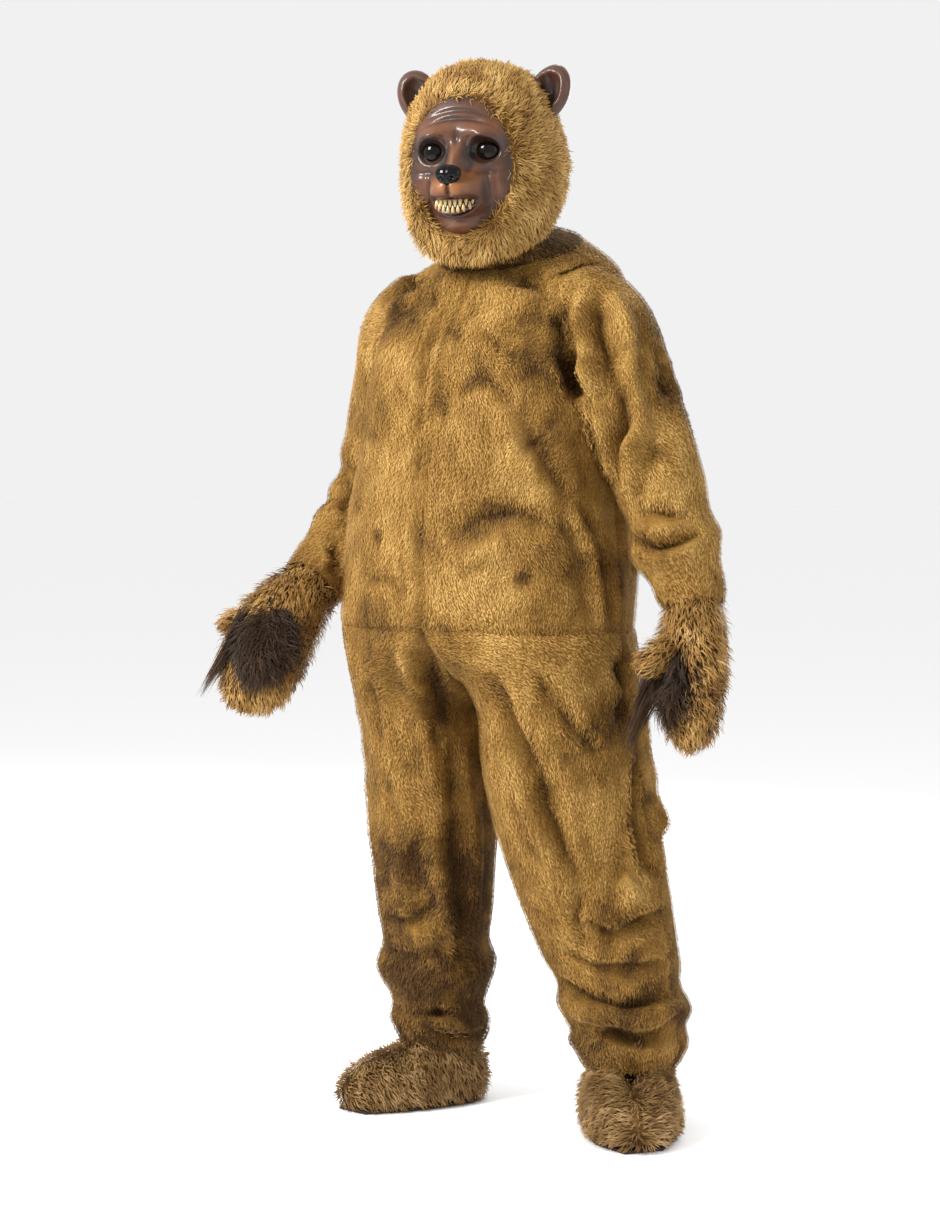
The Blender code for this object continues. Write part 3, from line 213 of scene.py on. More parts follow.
pile_on_cloth = pile_nodes()
short_strand = strand_mesh("short strand", [1.0])
long_strand = strand_mesh("long strand", [1.0, 0.8])


def nearest_on(path, points):
    """For each point, the nearest place on a path and the path's direction there."""
    best = np.full(len(points), np.inf)
    near, heading = np.zeros((len(points), 3)), np.zeros((len(points), 3))
    for a, b in zip(np.array(path[:-1]), np.array(path[1:])):
        run = b - a
        share = np.clip((points - a) @ run / (run @ run), 0, 1)[:, None]
        spot = a + share * run
        distance = np.linalg.norm(points - spot, axis=1)
        closer = distance < best
        best[closer], near[closer], heading[closer] = distance[closer], spot[closer], run / np.linalg.norm(run)
    return near, heading


def outer_faces(node_name, path):
    """The outer side of a packed wall. path runs through the wall's hollow."""
    sheet = bmesh.new()
    sheet.from_mesh(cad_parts[node_name].data)
    bmesh.ops.remove_doubles(sheet, verts=sheet.verts, dist=0.00002)
    sheet.normal_update()
    centres = np.array([face.calc_center_median() for face in sheet.faces])
    out = centres - nearest_on(path, centres)[0]
    out /= np.linalg.norm(out, axis=1)[:, None]
    facing = (out * np.array([face.normal for face in sheet.faces])).sum(axis=1)
    inner = [face for face, share in zip(sheet.faces, facing) if share < 0.22]
    bmesh.ops.delete(sheet, geom=inner, context="FACES")
    return sheet


def outer_cloth(node_name, path, levels):
    """The outer side of a packed wall as a smooth sheet of quads."""
    sheet = outer_faces(node_name, path)
    bmesh.ops.join_triangles(sheet, faces=sheet.faces, angle_face_threshold=0.9, angle_shape_threshold=0.9)
    mesh = bpy.data.meshes.new(node_name)
    sheet.to_mesh(mesh)
    sheet.free()
    whole = bpy.data.objects.new(node_name, mesh)
    bpy.context.scene.collection.objects.link(whole)
    smooth = whole.modifiers.new("smooth", "SUBSURF")
    smooth.levels = smooth.render_levels = levels
    smooth.boundary_smooth = "PRESERVE_CORNERS"
    bpy.context.view_layer.update()
    made = bpy.data.meshes.new_from_object(whole.evaluated_get(bpy.context.evaluated_depsgraph_get()))
    bpy.data.objects.remove(whole)
    return made


def vectors(source, name, count):
    """A mesh's positions or normals as an array."""
    values = np.zeros(count * 3, np.float32)
    source.foreach_get(name, values)
    return values.reshape(-1, 3).astype(float)


def unit(rows):
    return rows / np.maximum(np.linalg.norm(rows, axis=1), 1e-9)[:, None]


def from_edge(mesh, points):
    """For each point, the way to it from the nearest edge of the sheet."""
    used = np.zeros(len(mesh.loops), np.int32)
    ends = np.zeros(len(mesh.edges) * 2, np.int32)
    mesh.loops.foreach_get("edge_index", used)
    mesh.edges.foreach_get("vertices", ends)
    rim = np.unique(ends.reshape(-1, 2)[np.bincount(used, minlength=len(mesh.edges)) == 1])
    tree = kdtree.KDTree(len(rim))
    for n, vertex in enumerate(rim):
        tree.insert(points[vertex], n)
    tree.balance()
    return points - np.array([tree.find(point)[0] for point in points])


# A crease runs through points on the cloth. depth is how far it sinks, or rises where it is negative.
Crease = namedtuple("Crease", "half_width depth points")
# A brushed patch is a place where the nap lies another way, and the one below the collar is painted shade. tone is
# darker below 0 and lighter above.
BrushedAndShaded = namedtuple("BrushedAndShaded", "x y z radius tone")
FOLD_STRENGTH, FOLD_SHADE_HALF_WIDTH = 2.6, 0.0060


def crease_depth(creases, points):
    """How far the creases sink each point, and a line of painted shade along the bottom of each sinking crease:
    each crease swells and fades along its run, with soft banks beside it.
    """
    depth, fold_shade = np.zeros(len(points)), np.zeros(len(points))
    for number, crease in enumerate(creases):
        stops = np.array(crease.points)
        lengths = np.linalg.norm(np.diff(stops, axis=0), axis=1)
        whole, run = lengths.sum(), 0.0
        best, place = np.full(len(points), np.inf), np.zeros(len(points))
        for a, b, length in zip(stops[:-1], stops[1:], lengths):
            share = np.clip((points - a) @ (b - a) / length**2, 0, 1)
            distance = np.linalg.norm(points - a - share[:, None] * (b - a), axis=1)
            closer = distance < best
            best[closer], place[closer] = distance[closer], (run + share[closer] * length) / whole
            run += length
        fade = np.clip(1 - (2 * place - 1) ** 4, 0, 1)
        swell = 0.85 + 0.15 * np.sin(place * whole / 0.012 + 2.1 * number) + 0.10 * np.sin(place * 7 + number)
        away = best / (crease.half_width * (1 + 0.22 * np.sin(place * 9 + number)))
        profile = np.exp(-(away**2)) - 0.28 * np.exp(-(((away - 1.9) / 0.75) ** 2))
        depth += FOLD_STRENGTH * crease.depth * fade * swell * profile
        if crease.depth > 0:
            line = np.exp(-((best / FOLD_SHADE_HALF_WIDTH) ** 2)) * fade * min(1, crease.depth / 0.008)
            fold_shade = np.maximum(fold_shade, line)
    return depth, fold_shade


def brushed_and_shaded_tone(patches, points, grain, contrast):
    """Light and dark where the nap turns: uneven clouds, and the larger patches given in a list, one of them painted
    shade.
    """
    tone, ragged = np.zeros(len(points)), np.zeros(len(points))
    for i, point in enumerate(points):
        turned = noise.noise_vector(Vector(point) / 0.05) * 0.5
        ragged[i] = noise.noise(Vector(point) / 0.022) + 0.5 * noise.noise(Vector(point) / 0.009)
        cloud = noise.noise(Vector(point) / grain + turned + Vector((7, 3, 1)))
        streak = noise.noise(Vector((point[0] / 0.020, point[1] / 0.020, point[2] / 0.048)) + turned)
        mark = min(0, noise.noise(Vector(point) / 0.030 + 2.5 * turned) + 0.20)
        tone[i] = contrast * (0.62 * cloud + 0.50 * streak + 0.9 * mark + 0.05)
    for patch in patches:
        away = np.linalg.norm(points - np.array([patch.x, patch.y, patch.z]), axis=1) / patch.radius
        tone += patch.tone * np.exp(-(np.maximum(0, away + 0.45 * ragged) ** 3.5))
    return tone


def sew(name, mesh, material, stands_for=()):
    """A finished piece in the scene, riding on the garment."""
    made = bpy.data.objects.new(name, mesh)
    bpy.context.scene.collection.objects.link(made)
    mesh.materials.clear()
    mesh.materials.append(material)
    mesh.shade_smooth()
    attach(made, "root")
    if stands_for:
        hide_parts(*stands_for)
    return made


# A fur cloth's make. sink is how far its backing lies below the tips, parting is how far the pile turns away from
# a seam, and grain is the size of its light and dark clouds.
Fur = namedtuple("Fur", "slot backing pile strand density length width lift spread tuft sink grain contrast tone "
                        "parting")


# How far the backing lies under the roots, and how much further in a trough, so that its coarser mesh stays below
BACKING_UNDER, UNDER_IN_TROUGH = 0.0010, 0.12


def dressed(node_name, path, fur, levels, laid, creases, patches, outwards=None, under_roots=0.0):
    """A panel's sheet, sunk by its pile and creased, with the nap, length and tone of the pile on it. outwards
    gives the way out at a seam, the same for both panels, so that they stay together.
    """
    mesh = outer_cloth(node_name, path, levels)
    points = vectors(mesh.vertices, "co", len(mesh.vertices))
    normals = vectors(mesh.vertex_normals, "vector", len(mesh.vertices))
    sunk, fold_shade = crease_depth(creases, points)
    off_edge = from_edge(mesh, points)
    distance = np.linalg.norm(off_edge, axis=1)
    by_seam = np.exp(-((distance / 0.0055) ** 2))
    inward = normals.copy()
    if outwards:
        near = distance < 0.03
        hold = np.exp(-((distance[near] / 0.012) ** 2))[:, None]
        inward[near] = unit(normals[near] * (1 - hold) + outwards(points[near]) * hold)
    nap = laid(points, normals)
    nap = unit(nap - normals * (nap * normals).sum(axis=1)[:, None])
    turn = unit(off_edge) * (fur.parting * np.exp(-((distance / 0.011) ** 2)))[:, None]
    turn[(unit(off_edge) * nap).sum(axis=1) < -0.5] = 0
    swirl = np.array([noise.noise_vector(Vector(point) / 0.09) for point in points]) * 0.9
    nap = nap + turn + swirl - normals * (swirl * normals).sum(axis=1)[:, None]
    tone = fur.tone + brushed_and_shaded_tone(patches, points, fur.grain, fur.contrast)
    # Painted shade: the nap is darker in the creases' troughs and along their bottoms, and painted light on raised
    # banks
    tone -= 6.0 * np.clip(sunk, -0.022, 0.026) + 0.30 * fold_shade + 0.22 * abs(fur.parting) * by_seam
    depth = fur.sink + sunk + 0.0015 * by_seam
    if under_roots:
        depth += under_roots + UNDER_IN_TROUGH * np.maximum(0, sunk)
    mesh.vertices.foreach_set("co", (points - inward * depth[:, None]).astype(np.float32).ravel())
    mesh.update()
    mesh.attributes.new("nap", "FLOAT_VECTOR", "POINT").data.foreach_set("vector", nap.ravel())
    mesh.attributes.new("tone", "FLOAT", "POINT").data.foreach_set("value", tone)
    mesh.attributes.new("pile", "FLOAT", "POINT").data.foreach_set("value", 1 - 0.35 * max(fur.parting, -0.3) * by_seam)
    return mesh, tone


SEAM_ALLOWANCE, ALLOWANCE_UNDER = 0.015, 0.0045


def seam_allowance(mesh, under, shade_fall):
    """Lengthens a sheet past its seams. under gives the places below the neighbouring panel's cloth."""
    sheet = bmesh.new()
    sheet.from_mesh(mesh)
    shade = sheet.verts.layers.float["shade"]
    rim = [edge for edge in sheet.edges if edge.is_boundary]
    ways = {}
    for edge in rim:
        run = edge.verts[1].co - edge.verts[0].co
        out = (edge.verts[0].co + edge.verts[1].co) / 2 - edge.link_faces[0].calc_center_median()
        out -= run * (out.dot(run) / max(run.length_squared, 1e-12))
        for vertex in edge.verts:
            ways[vertex] = ways.get(vertex, Vector()) + out.normalized()
    places = under(np.array([vertex.co + way.normalized() * SEAM_ALLOWANCE for vertex, way in ways.items()]))
    beyond = {}
    for vertex, place in zip(ways, places):
        beyond[vertex] = sheet.verts.new(place)
        # Painted shade: the allowance lies under the neighbouring panel, so it is set darker by shade_fall
        beyond[vertex][shade] = vertex[shade] - shade_fall
    for edge in rim:
        loop = edge.link_loops[0]
        first, last = loop.vert, loop.link_loop_next.vert
        sheet.faces.new((last, first, beyond[first], beyond[last]))
    sheet.to_mesh(mesh)
    sheet.free()


def fur_cloth(name, path, fur, laid, seed, creases=(), patches=(), levels=2, outwards=None, under=None):
    """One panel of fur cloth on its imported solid: a thin sheet and the pile standing on it."""
    ground = dressed(name, path, fur, levels + 1, laid, creases, patches, outwards)[0]
    growing = bpy.data.objects.new(f"{name}_growing", ground)
    bpy.context.scene.collection.objects.link(growing)
    grow = growing.modifiers.new("pile", "NODES")
    grow.node_group = pile_on_cloth
    values = {"Strand": fur.strand, "Material": fur.pile, "Strands per square metre": fur.density,
              "Length": fur.length, "Width": fur.width, "Lift": fur.lift, "Spread": fur.spread,
              "Tuft size": fur.tuft, "Seed": seed}
    for item in pile_on_cloth.interface.items_tree:
        if item.in_out == "INPUT" and item.name in values:
            grow[item.identifier] = values[item.name]
    bpy.context.view_layer.update()
    standing = bpy.data.meshes.new_from_object(growing.evaluated_get(bpy.context.evaluated_depsgraph_get()))
    bpy.data.objects.remove(growing)
    mesh, tone = dressed(name, path, fur, levels, laid, creases, patches, outwards, BACKING_UNDER)
    for attribute in ("nap", "pile", "tone"):
        mesh.attributes.remove(mesh.attributes[attribute])
    mesh.attributes.new("shade", "FLOAT", "POINT").data.foreach_set("value", tone)
    if under:
        seam_allowance(mesh, under, 0.10)
    cloth = sew(name + "_cloth", mesh, fur.backing, [name])
    wall = cloth.modifiers.new("backing", "SOLIDIFY")
    wall.thickness, wall.offset = 0.0015, -1.0
    return cloth, sew(name + "_pile", standing, fur.pile)


def down(path):
    """The nap lies along a path, from the shoulder to the hem or from the shoulder to the hand."""
    return lambda points, normals: nearest_on(path, points)[1]


PLUSH = Fur(slot="plush", backing=backing_material("knitted plush backing", "#3A260D", "#83602B", "#AD894A"),
            pile=pile_material("brushed acrylic plush", "#64471F", "#4A3012", "#987034", "#CAA25C", 0.75, 0.3),
            strand=short_strand, density=85000, length=0.0090, width=0.0016, lift=0.36, spread=0.20, tuft=0.008,
            sink=0.0050, grain=0.085, contrast=0.48, tone=0.52, parting=0.8)
BODY = [(0.028, 0.012, 0.015), (0.028, 0.010, -0.100), (0.022, -0.008, -0.300), (0.0, -0.010, -0.560)]
LEFT_LEG = [(0.0, -0.010, -0.560), (0.090, -0.008, -0.635), (0.146, -0.004, -0.675), (0.168, 0.010, -0.870),
            (0.183, 0.038, -0.990), (0.215, 0.083, -1.190), (0.229, 0.099, -1.335)]
RIGHT_LEG = [(0.0, -0.010, -0.560), (-0.078, -0.008, -0.635), (-0.131, -0.004, -0.675), (-0.126, 0.008, -0.870),
             (-0.133, 0.020, -0.990), (-0.160, 0.058, -1.190), (-0.162, 0.080, -1.335)]
LEFT_ARM = [(0.156, 0.018, -0.006), (0.212, 0.016, -0.054), (0.268, -0.002, -0.140), (0.322, -0.016, -0.230),
            (0.365, -0.026, -0.320), (0.390, -0.022, -0.410), (0.412, -0.016, -0.475), (0.422, -0.016, -0.515)]
RIGHT_ARM = [(-0.120, 0.018, -0.006), (-0.172, 0.020, -0.052), (-0.218, 0.044, -0.140), (-0.268, 0.072, -0.225),
             (-0.306, 0.086, -0.310), (-0.328, 0.054, -0.390), (-0.334, -0.016, -0.458),
             (-0.342, -0.074, -0.504)]
NECK = [(0.020, -0.030, 0.200), (0.024, 0.000, 0.080)]

# A panel of the suit: its node, the path down its hollow, how light its nap is, and the cloth it is cut from
Panel = namedtuple("Panel", "node path tone width length area held")
PANELS = [
    Panel("torso_front_left", BODY, 0.55, 0.42, 0.68, 0.205, "hung"),
    Panel("torso_front_right", BODY, 0.55, 0.42, 0.68, 0.205, "hung"),
    Panel("torso_back_left", BODY, 0.52, 0.42, 0.68, 0.205, "hung"),
    Panel("torso_back_right", BODY, 0.52, 0.42, 0.68, 0.205, "hung"),
    Panel("leg_front_left", LEFT_LEG, 0.56, 0.48, 0.80, 0.290, "hung"),
    Panel("leg_back_left", LEFT_LEG, 0.48, 0.48, 0.80, 0.290, "hung"),
    Panel("leg_front_right", RIGHT_LEG, 0.39, 0.48, 0.80, 0.290, "hung"),
    Panel("leg_back_right", RIGHT_LEG, 0.38, 0.48, 0.80, 0.290, "hung"),
    Panel("sleeve_left", LEFT_ARM, 0.57, 0.58, 0.56, 0.245, "hung"),
    Panel("sleeve_right", RIGHT_ARM, 0.54, 0.58, 0.56, 0.245, "hung"),
    # The neck band's nap is set far darker than the suit's: painted shadow of the head above it
    Panel("collar", NECK, 0.22, 0.78, 0.10, 0.055, "gathered"),
]
TORSO_CREASES = [
    Crease(0.008, 0.004, [(0.015, -0.115, 0.010), (-0.010, -0.143, -0.036), (-0.010, -0.182, -0.100),
                          (-0.003, -0.206, -0.177), (0.005, -0.221, -0.294), (0.006, -0.223, -0.429),
                          (0.011, -0.215, -0.519), (0.015, -0.202, -0.583)]),
    Crease(0.010, -0.004, [(-0.002, -0.115, 0.008), (-0.025, -0.142, -0.035), (-0.027, -0.177, -0.100),
                           (-0.018, -0.205, -0.177)]),
    Crease(0.012, 0.003, [(0.035, -0.175, -0.069), (0.048, -0.204, -0.169), (0.044, -0.217, -0.249)]),
    Crease(0.015, 0.014, [(0.202, -0.093, -0.026), (0.226, -0.100, -0.080), (0.237, -0.093, -0.142),
                          (0.248, -0.096, -0.169)]),
    Crease(0.020, 0.006, [(0.180, -0.179, -0.187), (0.205, -0.168, -0.249), (0.237, -0.144, -0.306),
                          (0.261, -0.108, -0.364)]),
    Crease(0.018, -0.006, [(0.155, -0.190, -0.178), (0.183, -0.183, -0.240), (0.213, -0.164, -0.293),
                           (0.242, -0.144, -0.342)]),
    Crease(0.022, 0.007, [(0.063, -0.221, -0.401), (0.125, -0.209, -0.369), (0.185, -0.185, -0.360),
                          (0.241, -0.150, -0.386), (0.260, -0.106, -0.396)]),
    Crease(0.016, -0.004, [(0.057, -0.220, -0.441), (0.123, -0.206, -0.427), (0.183, -0.183, -0.422)]),
    Crease(0.013, 0.006, [(0.262, -0.110, -0.338), (0.266, -0.067, -0.392), (0.276, -0.048, -0.473),
                          (0.281, -0.031, -0.564)]),
    Crease(0.014, -0.006, [(0.255, -0.131, -0.342), (0.263, -0.095, -0.400), (0.268, -0.069, -0.473),
                           (0.275, -0.055, -0.554)]),
    Crease(0.016, 0.008, [(-0.186, -0.069, -0.001), (-0.093, -0.045, 0.062)]),
    Crease(0.014, -0.006, [(-0.171, -0.081, -0.030), (-0.094, -0.098, 0.005), (-0.028, -0.103, 0.025)]),
    Crease(0.016, 0.007, [(0.110, -0.085, 0.045), (0.134, -0.081, 0.035), (0.186, -0.084, -0.003)]),
    Crease(0.018, -0.006, [(0.055, -0.108, 0.023), (0.121, -0.109, 0.002), (0.179, -0.106, -0.026)]),
    Crease(0.014, 0.004, [(0.110, -0.187, -0.133), (0.154, -0.187, -0.160), (0.180, -0.179, -0.183)]),
    Crease(0.012, 0.005, [(-0.140, -0.192, -0.475), (-0.073, -0.212, -0.481), (-0.019, -0.216, -0.507)]),
    Crease(0.018, -0.008, [(-0.137, 0.136, -0.042), (-0.146, 0.135, -0.209), (-0.163, 0.130, -0.377)]),
    Crease(0.022, 0.010, [(0.049, 0.175, -0.057), (0.070, 0.171, -0.226), (0.095, 0.161, -0.413)]),
    Crease(0.020, -0.008, [(-0.007, 0.175, -0.058), (-0.014, 0.171, -0.259), (-0.007, 0.176, -0.445)]),
    Crease(0.020, 0.008, [(0.094, 0.163, -0.448), (-0.045, 0.176, -0.495), (-0.189, 0.126, -0.478)]),
    Crease(0.016, 0.007, [(0.009, 0.180, 0.026), (-0.077, 0.165, -0.008), (-0.150, 0.123, 0.009)]),
    Crease(0.020, 0.009, [(0.246, 0.062, -0.215), (0.262, 0.056, -0.342), (0.273, 0.043, -0.474)]),
    Crease(0.020, 0.009, [(-0.199, -0.086, -0.209), (-0.231, -0.066, -0.342), (-0.250, -0.060, -0.480)]),
]
SLEEVE_CREASES = [
    Crease(0.020, 0.015, [(0.249, -0.041, 0.020), (0.281, -0.082, -0.072), (0.308, -0.100, -0.143),
                          (0.314, -0.100, -0.178)]),
    Crease(0.016, 0.013, [(0.334, -0.084, -0.143), (0.337, -0.103, -0.205), (0.316, -0.101, -0.284),
                          (0.314, -0.092, -0.320)]),
    Crease(0.014, -0.010, [(0.230, -0.093, -0.080), (0.258, -0.088, -0.133), (0.287, -0.095, -0.196),
                           (0.303, -0.100, -0.258)]),
    Crease(0.015, -0.010, [(0.285, -0.036, -0.008), (0.317, -0.056, -0.081), (0.357, -0.094, -0.205),
                           (0.352, -0.106, -0.293), (0.330, -0.092, -0.342)]),
    Crease(0.016, 0.007, [(0.343, 0.007, -0.079), (0.383, -0.037, -0.169)]),
    Crease(0.011, 0.009, [(0.337, -0.078, -0.404), (0.396, -0.106, -0.419), (0.434, -0.093, -0.406),
                          (0.465, -0.051, -0.389)]),
    Crease(0.013, 0.006, [(0.367, -0.101, -0.354), (0.417, -0.091, -0.362), (0.455, -0.044, -0.376)]),
    Crease(0.012, -0.007, [(0.351, -0.092, -0.381), (0.413, -0.092, -0.389), (0.453, -0.032, -0.363)]),
    Crease(0.014, 0.008, [(-0.343, 0.017, -0.298), (-0.314, -0.005, -0.337), (-0.313, -0.030, -0.375)]),
    Crease(0.010, 0.008, [(-0.296, -0.068, -0.426), (-0.280, -0.065, -0.455), (-0.281, -0.079, -0.483)]),
    Crease(0.020, 0.010, [(-0.188, 0.126, -0.059), (-0.217, 0.149, -0.209), (-0.247, 0.136, -0.342)]),
]
LEG_CREASES = [
    Crease(0.015, 0.010, [(0.117, -0.177, -0.632), (0.156, -0.159, -0.711), (0.195, -0.151, -0.801),
                          (0.217, -0.129, -0.882), (0.229, -0.115, -0.938), (0.267, -0.082, -1.000)]),
    Crease(0.013, 0.008, [(0.190, -0.166, -0.618), (0.231, -0.139, -0.678), (0.269, -0.110, -0.733),
                          (0.293, -0.079, -0.771)]),
    Crease(0.016, -0.008, [(0.081, -0.159, -0.666), (0.129, -0.152, -0.756), (0.186, -0.143, -0.876),
                           (0.218, -0.108, -0.977)]),
    Crease(0.014, -0.006, [(0.151, -0.173, -0.631), (0.196, -0.152, -0.710), (0.241, -0.133, -0.782),
                           (0.267, -0.106, -0.850)]),
    Crease(0.015, 0.009, [(0.284, -0.032, -0.591), (0.291, -0.002, -0.667), (0.297, -0.040, -0.725)]),
    Crease(0.010, 0.012, [(0.311, -0.005, -0.777), (0.312, -0.020, -0.880), (0.320, 0.006, -0.957),
                          (0.329, 0.033, -0.984)]),
    Crease(0.020, -0.006, [(0.315, 0.036, -0.836), (0.320, 0.057, -0.913)]),
    Crease(0.011, 0.010, [(0.247, -0.074, -1.052), (0.284, -0.041, -1.081), (0.316, 0.001, -1.056),
                          (0.328, 0.058, -1.038)]),
    Crease(0.022, -0.010, [(0.296, -0.049, -1.002), (0.317, -0.001, -1.000)]),
    Crease(0.014, 0.007, [(0.255, -0.097, -0.987), (0.227, -0.082, -1.047), (0.236, -0.058, -1.106)]),
    Crease(0.010, 0.012, [(0.148, -0.020, -1.165), (0.219, -0.031, -1.193), (0.293, -0.008, -1.202),
                          (0.326, 0.067, -1.190)]),
    Crease(0.010, 0.012, [(0.132, 0.056, -1.268), (0.249, -0.008, -1.253), (0.302, 0.025, -1.269),
                          (0.336, 0.064, -1.239)]),
    Crease(0.011, -0.009, [(0.177, -0.024, -1.224), (0.259, -0.024, -1.226), (0.320, 0.020, -1.227),
                           (0.340, 0.093, -1.205)]),
    Crease(0.012, 0.008, [(0.180, -0.063, -1.111), (0.240, -0.041, -1.139), (0.311, 0.009, -1.139),
                          (0.329, 0.087, -1.117)]),
    Crease(0.017, 0.011, [(-0.025, -0.070, -0.761), (-0.028, -0.062, -0.838), (-0.038, -0.040, -0.969),
                          (-0.052, -0.001, -1.105), (-0.056, 0.013, -1.192)]),
    Crease(0.016, 0.009, [(0.003, -0.207, -0.568), (-0.021, -0.134, -0.642), (-0.031, -0.077, -0.722)]),
    Crease(0.014, -0.006, [(-0.041, -0.201, -0.589), (-0.062, -0.136, -0.681), (-0.055, -0.108, -0.784),
                           (-0.058, -0.083, -0.902)]),
    Crease(0.018, 0.005, [(-0.136, -0.132, -0.819), (-0.140, -0.122, -0.878), (-0.090, -0.093, -0.967),
                          (-0.101, -0.069, -1.068)]),
    Crease(0.013, 0.007, [(-0.197, -0.058, -1.091), (-0.123, -0.070, -1.092), (-0.073, -0.052, -1.054)]),
    Crease(0.014, -0.006, [(-0.211, -0.029, -1.136), (-0.131, -0.049, -1.132), (-0.069, -0.035, -1.095)]),
    Crease(0.009, 0.010, [(-0.190, -0.014, -1.268), (-0.112, 0.001, -1.263), (-0.093, 0.121, -1.267)]),
    Crease(0.009, 0.010, [(-0.137, -0.020, -1.284), (-0.089, 0.025, -1.304), (-0.075, 0.095, -1.307)]),
    Crease(0.012, 0.006, [(-0.145, -0.167, -0.645), (-0.146, -0.145, -0.730), (-0.152, -0.131, -0.795)]),
    Crease(0.018, 0.011, [(0.032, 0.174, -0.582), (0.108, 0.136, -0.725), (0.114, 0.143, -0.899),
                          (0.087, 0.142, -1.036)]),
    Crease(0.018, -0.009, [(-0.025, 0.174, -0.580), (0.057, 0.104, -0.761), (0.067, 0.122, -0.933)]),
    Crease(0.016, 0.010, [(-0.162, 0.149, -0.595), (-0.190, 0.127, -0.748), (-0.177, 0.119, -0.936),
                          (-0.167, 0.138, -1.071)]),
    Crease(0.016, -0.008, [(-0.232, 0.099, -0.613), (-0.235, 0.061, -0.786), (-0.228, 0.087, -0.954)]),
    Crease(0.012, 0.010, [(0.160, 0.188, -1.139), (0.109, 0.057, -1.201)]),
    Crease(0.012, 0.010, [(-0.130, 0.158, -1.156), (-0.220, 0.154, -1.183), (-0.257, 0.022, -1.160)]),
    Crease(0.018, 0.010, [(0.133, 0.161, -0.586), (-0.001, 0.162, -0.616), (-0.131, 0.161, -0.595),
                          (-0.246, 0.088, -0.579)]),
    Crease(0.016, 0.010, [(0.283, 0.049, -0.673), (0.287, 0.089, -0.837), (0.320, 0.090, -0.999)]),
    Crease(0.016, 0.010, [(-0.252, -0.061, -0.674), (-0.240, -0.034, -0.843), (-0.223, -0.056, -1.014)]),
]
TORSO_PATCHES = [
    BrushedAndShaded(-0.109, -0.109, -0.019, 0.070, -0.34),
    BrushedAndShaded(0.186, -0.140, -0.071, 0.075, -0.30),
    BrushedAndShaded(0.220, -0.127, -0.125, 0.045, -0.20),
    BrushedAndShaded(0.240, -0.132, -0.262, 0.045, -0.24),
    BrushedAndShaded(0.097, -0.215, -0.405, 0.024, -0.34),
    BrushedAndShaded(0.190, -0.177, -0.471, 0.016, -0.50),
    BrushedAndShaded(-0.096, -0.208, -0.404, 0.015, -0.42),
    BrushedAndShaded(0.159, -0.195, -0.373, 0.045, -0.18),
    BrushedAndShaded(0.252, -0.127, -0.417, 0.040, -0.20),
    BrushedAndShaded(-0.128, -0.193, -0.534, 0.035, -0.22),
    BrushedAndShaded(-0.090, -0.165, -0.103, 0.050, 0.20),
    BrushedAndShaded(0.089, -0.134, -0.020, 0.032, 0.24),
    BrushedAndShaded(-0.074, -0.210, -0.295, 0.065, 0.16),
    BrushedAndShaded(0.121, -0.203, -0.485, 0.070, 0.16),
    BrushedAndShaded(0.031, -0.207, -0.177, 0.035, -0.25),
    # Painted shadow of the head, on the front of the suit just below the collar
    BrushedAndShaded(0.115, -0.080, 0.045, 0.045, -0.28),
    BrushedAndShaded(-0.033, -0.087, 0.049, 0.040, -0.22),
]
SLEEVE_PATCHES = [
    BrushedAndShaded(0.321, 0.012, -0.038, 0.055, -0.26),
    BrushedAndShaded(0.399, -0.088, -0.262, 0.016, -0.34),
    BrushedAndShaded(0.283, -0.093, -0.143, 0.030, 0.18),
    BrushedAndShaded(0.413, -0.093, -0.319, 0.045, 0.16),
    BrushedAndShaded(0.221, -0.057, 0.020, 0.030, 0.12),
    BrushedAndShaded(0.378, -0.004, -0.142, 0.045, -0.25),
]
LEG_PATCHES = [
    BrushedAndShaded(0.292, -0.054, -0.706, 0.050, -0.30),
    BrushedAndShaded(0.112, -0.171, -0.658, 0.040, -0.20),
    BrushedAndShaded(-0.029, -0.112, -0.675, 0.050, -0.20),
    BrushedAndShaded(-0.041, -0.020, -1.036, 0.060, -0.28),
    BrushedAndShaded(0.129, -0.141, -0.819, 0.055, 0.14),
    BrushedAndShaded(0.295, -0.081, -0.863, 0.050, 0.16),
    BrushedAndShaded(0.299, -0.041, -1.040, 0.035, -0.24),
    BrushedAndShaded(-0.088, -0.138, -0.708, 0.045, 0.10),
    BrushedAndShaded(-0.137, -0.095, -1.009, 0.060, -0.16),
    BrushedAndShaded(0.212, -0.065, -1.101, 0.050, 0.10),
    BrushedAndShaded(-0.125, -0.047, -1.183, 0.060, -0.14),
    BrushedAndShaded(0.283, -0.015, -1.226, 0.060, -0.18),
]
# The nap is darker round the ankles
DARKER_AT_HEM, DARK_REACH = -0.26, 0.34

skin_places, skin_ways, skin_corners = [], [], []
for panel in PANELS:
    faces = outer_faces(panel.node, panel.path)
    skin_places += [face.calc_center_median() for face in faces.faces]
    skin_ways += [face.normal * face.calc_area() for face in faces.faces]
    skin_corners += [corner.co.copy() for face in faces.faces for corner in face.verts]
    faces.free()
whole_skin = BVHTree.FromPolygons(skin_corners, [(n, n + 1, n + 2) for n in range(0, len(skin_corners), 3)])
suit_skin = kdtree.KDTree(len(skin_places))
for n, spot in enumerate(skin_places):
    suit_skin.insert(spot, n)
suit_skin.balance()


def suit_outwards(points):
    """The way out of the suit at each point, whichever of its panels the point is on."""
    ways = [sum((skin_ways[index] / (distance + 0.006) ** 2 for _, index, distance in suit_skin.find_n(point, 12)),
                Vector()) for point in points]
    return unit(np.array(ways))


SUIT_CREASES = TORSO_CREASES + SLEEVE_CREASES + LEG_CREASES


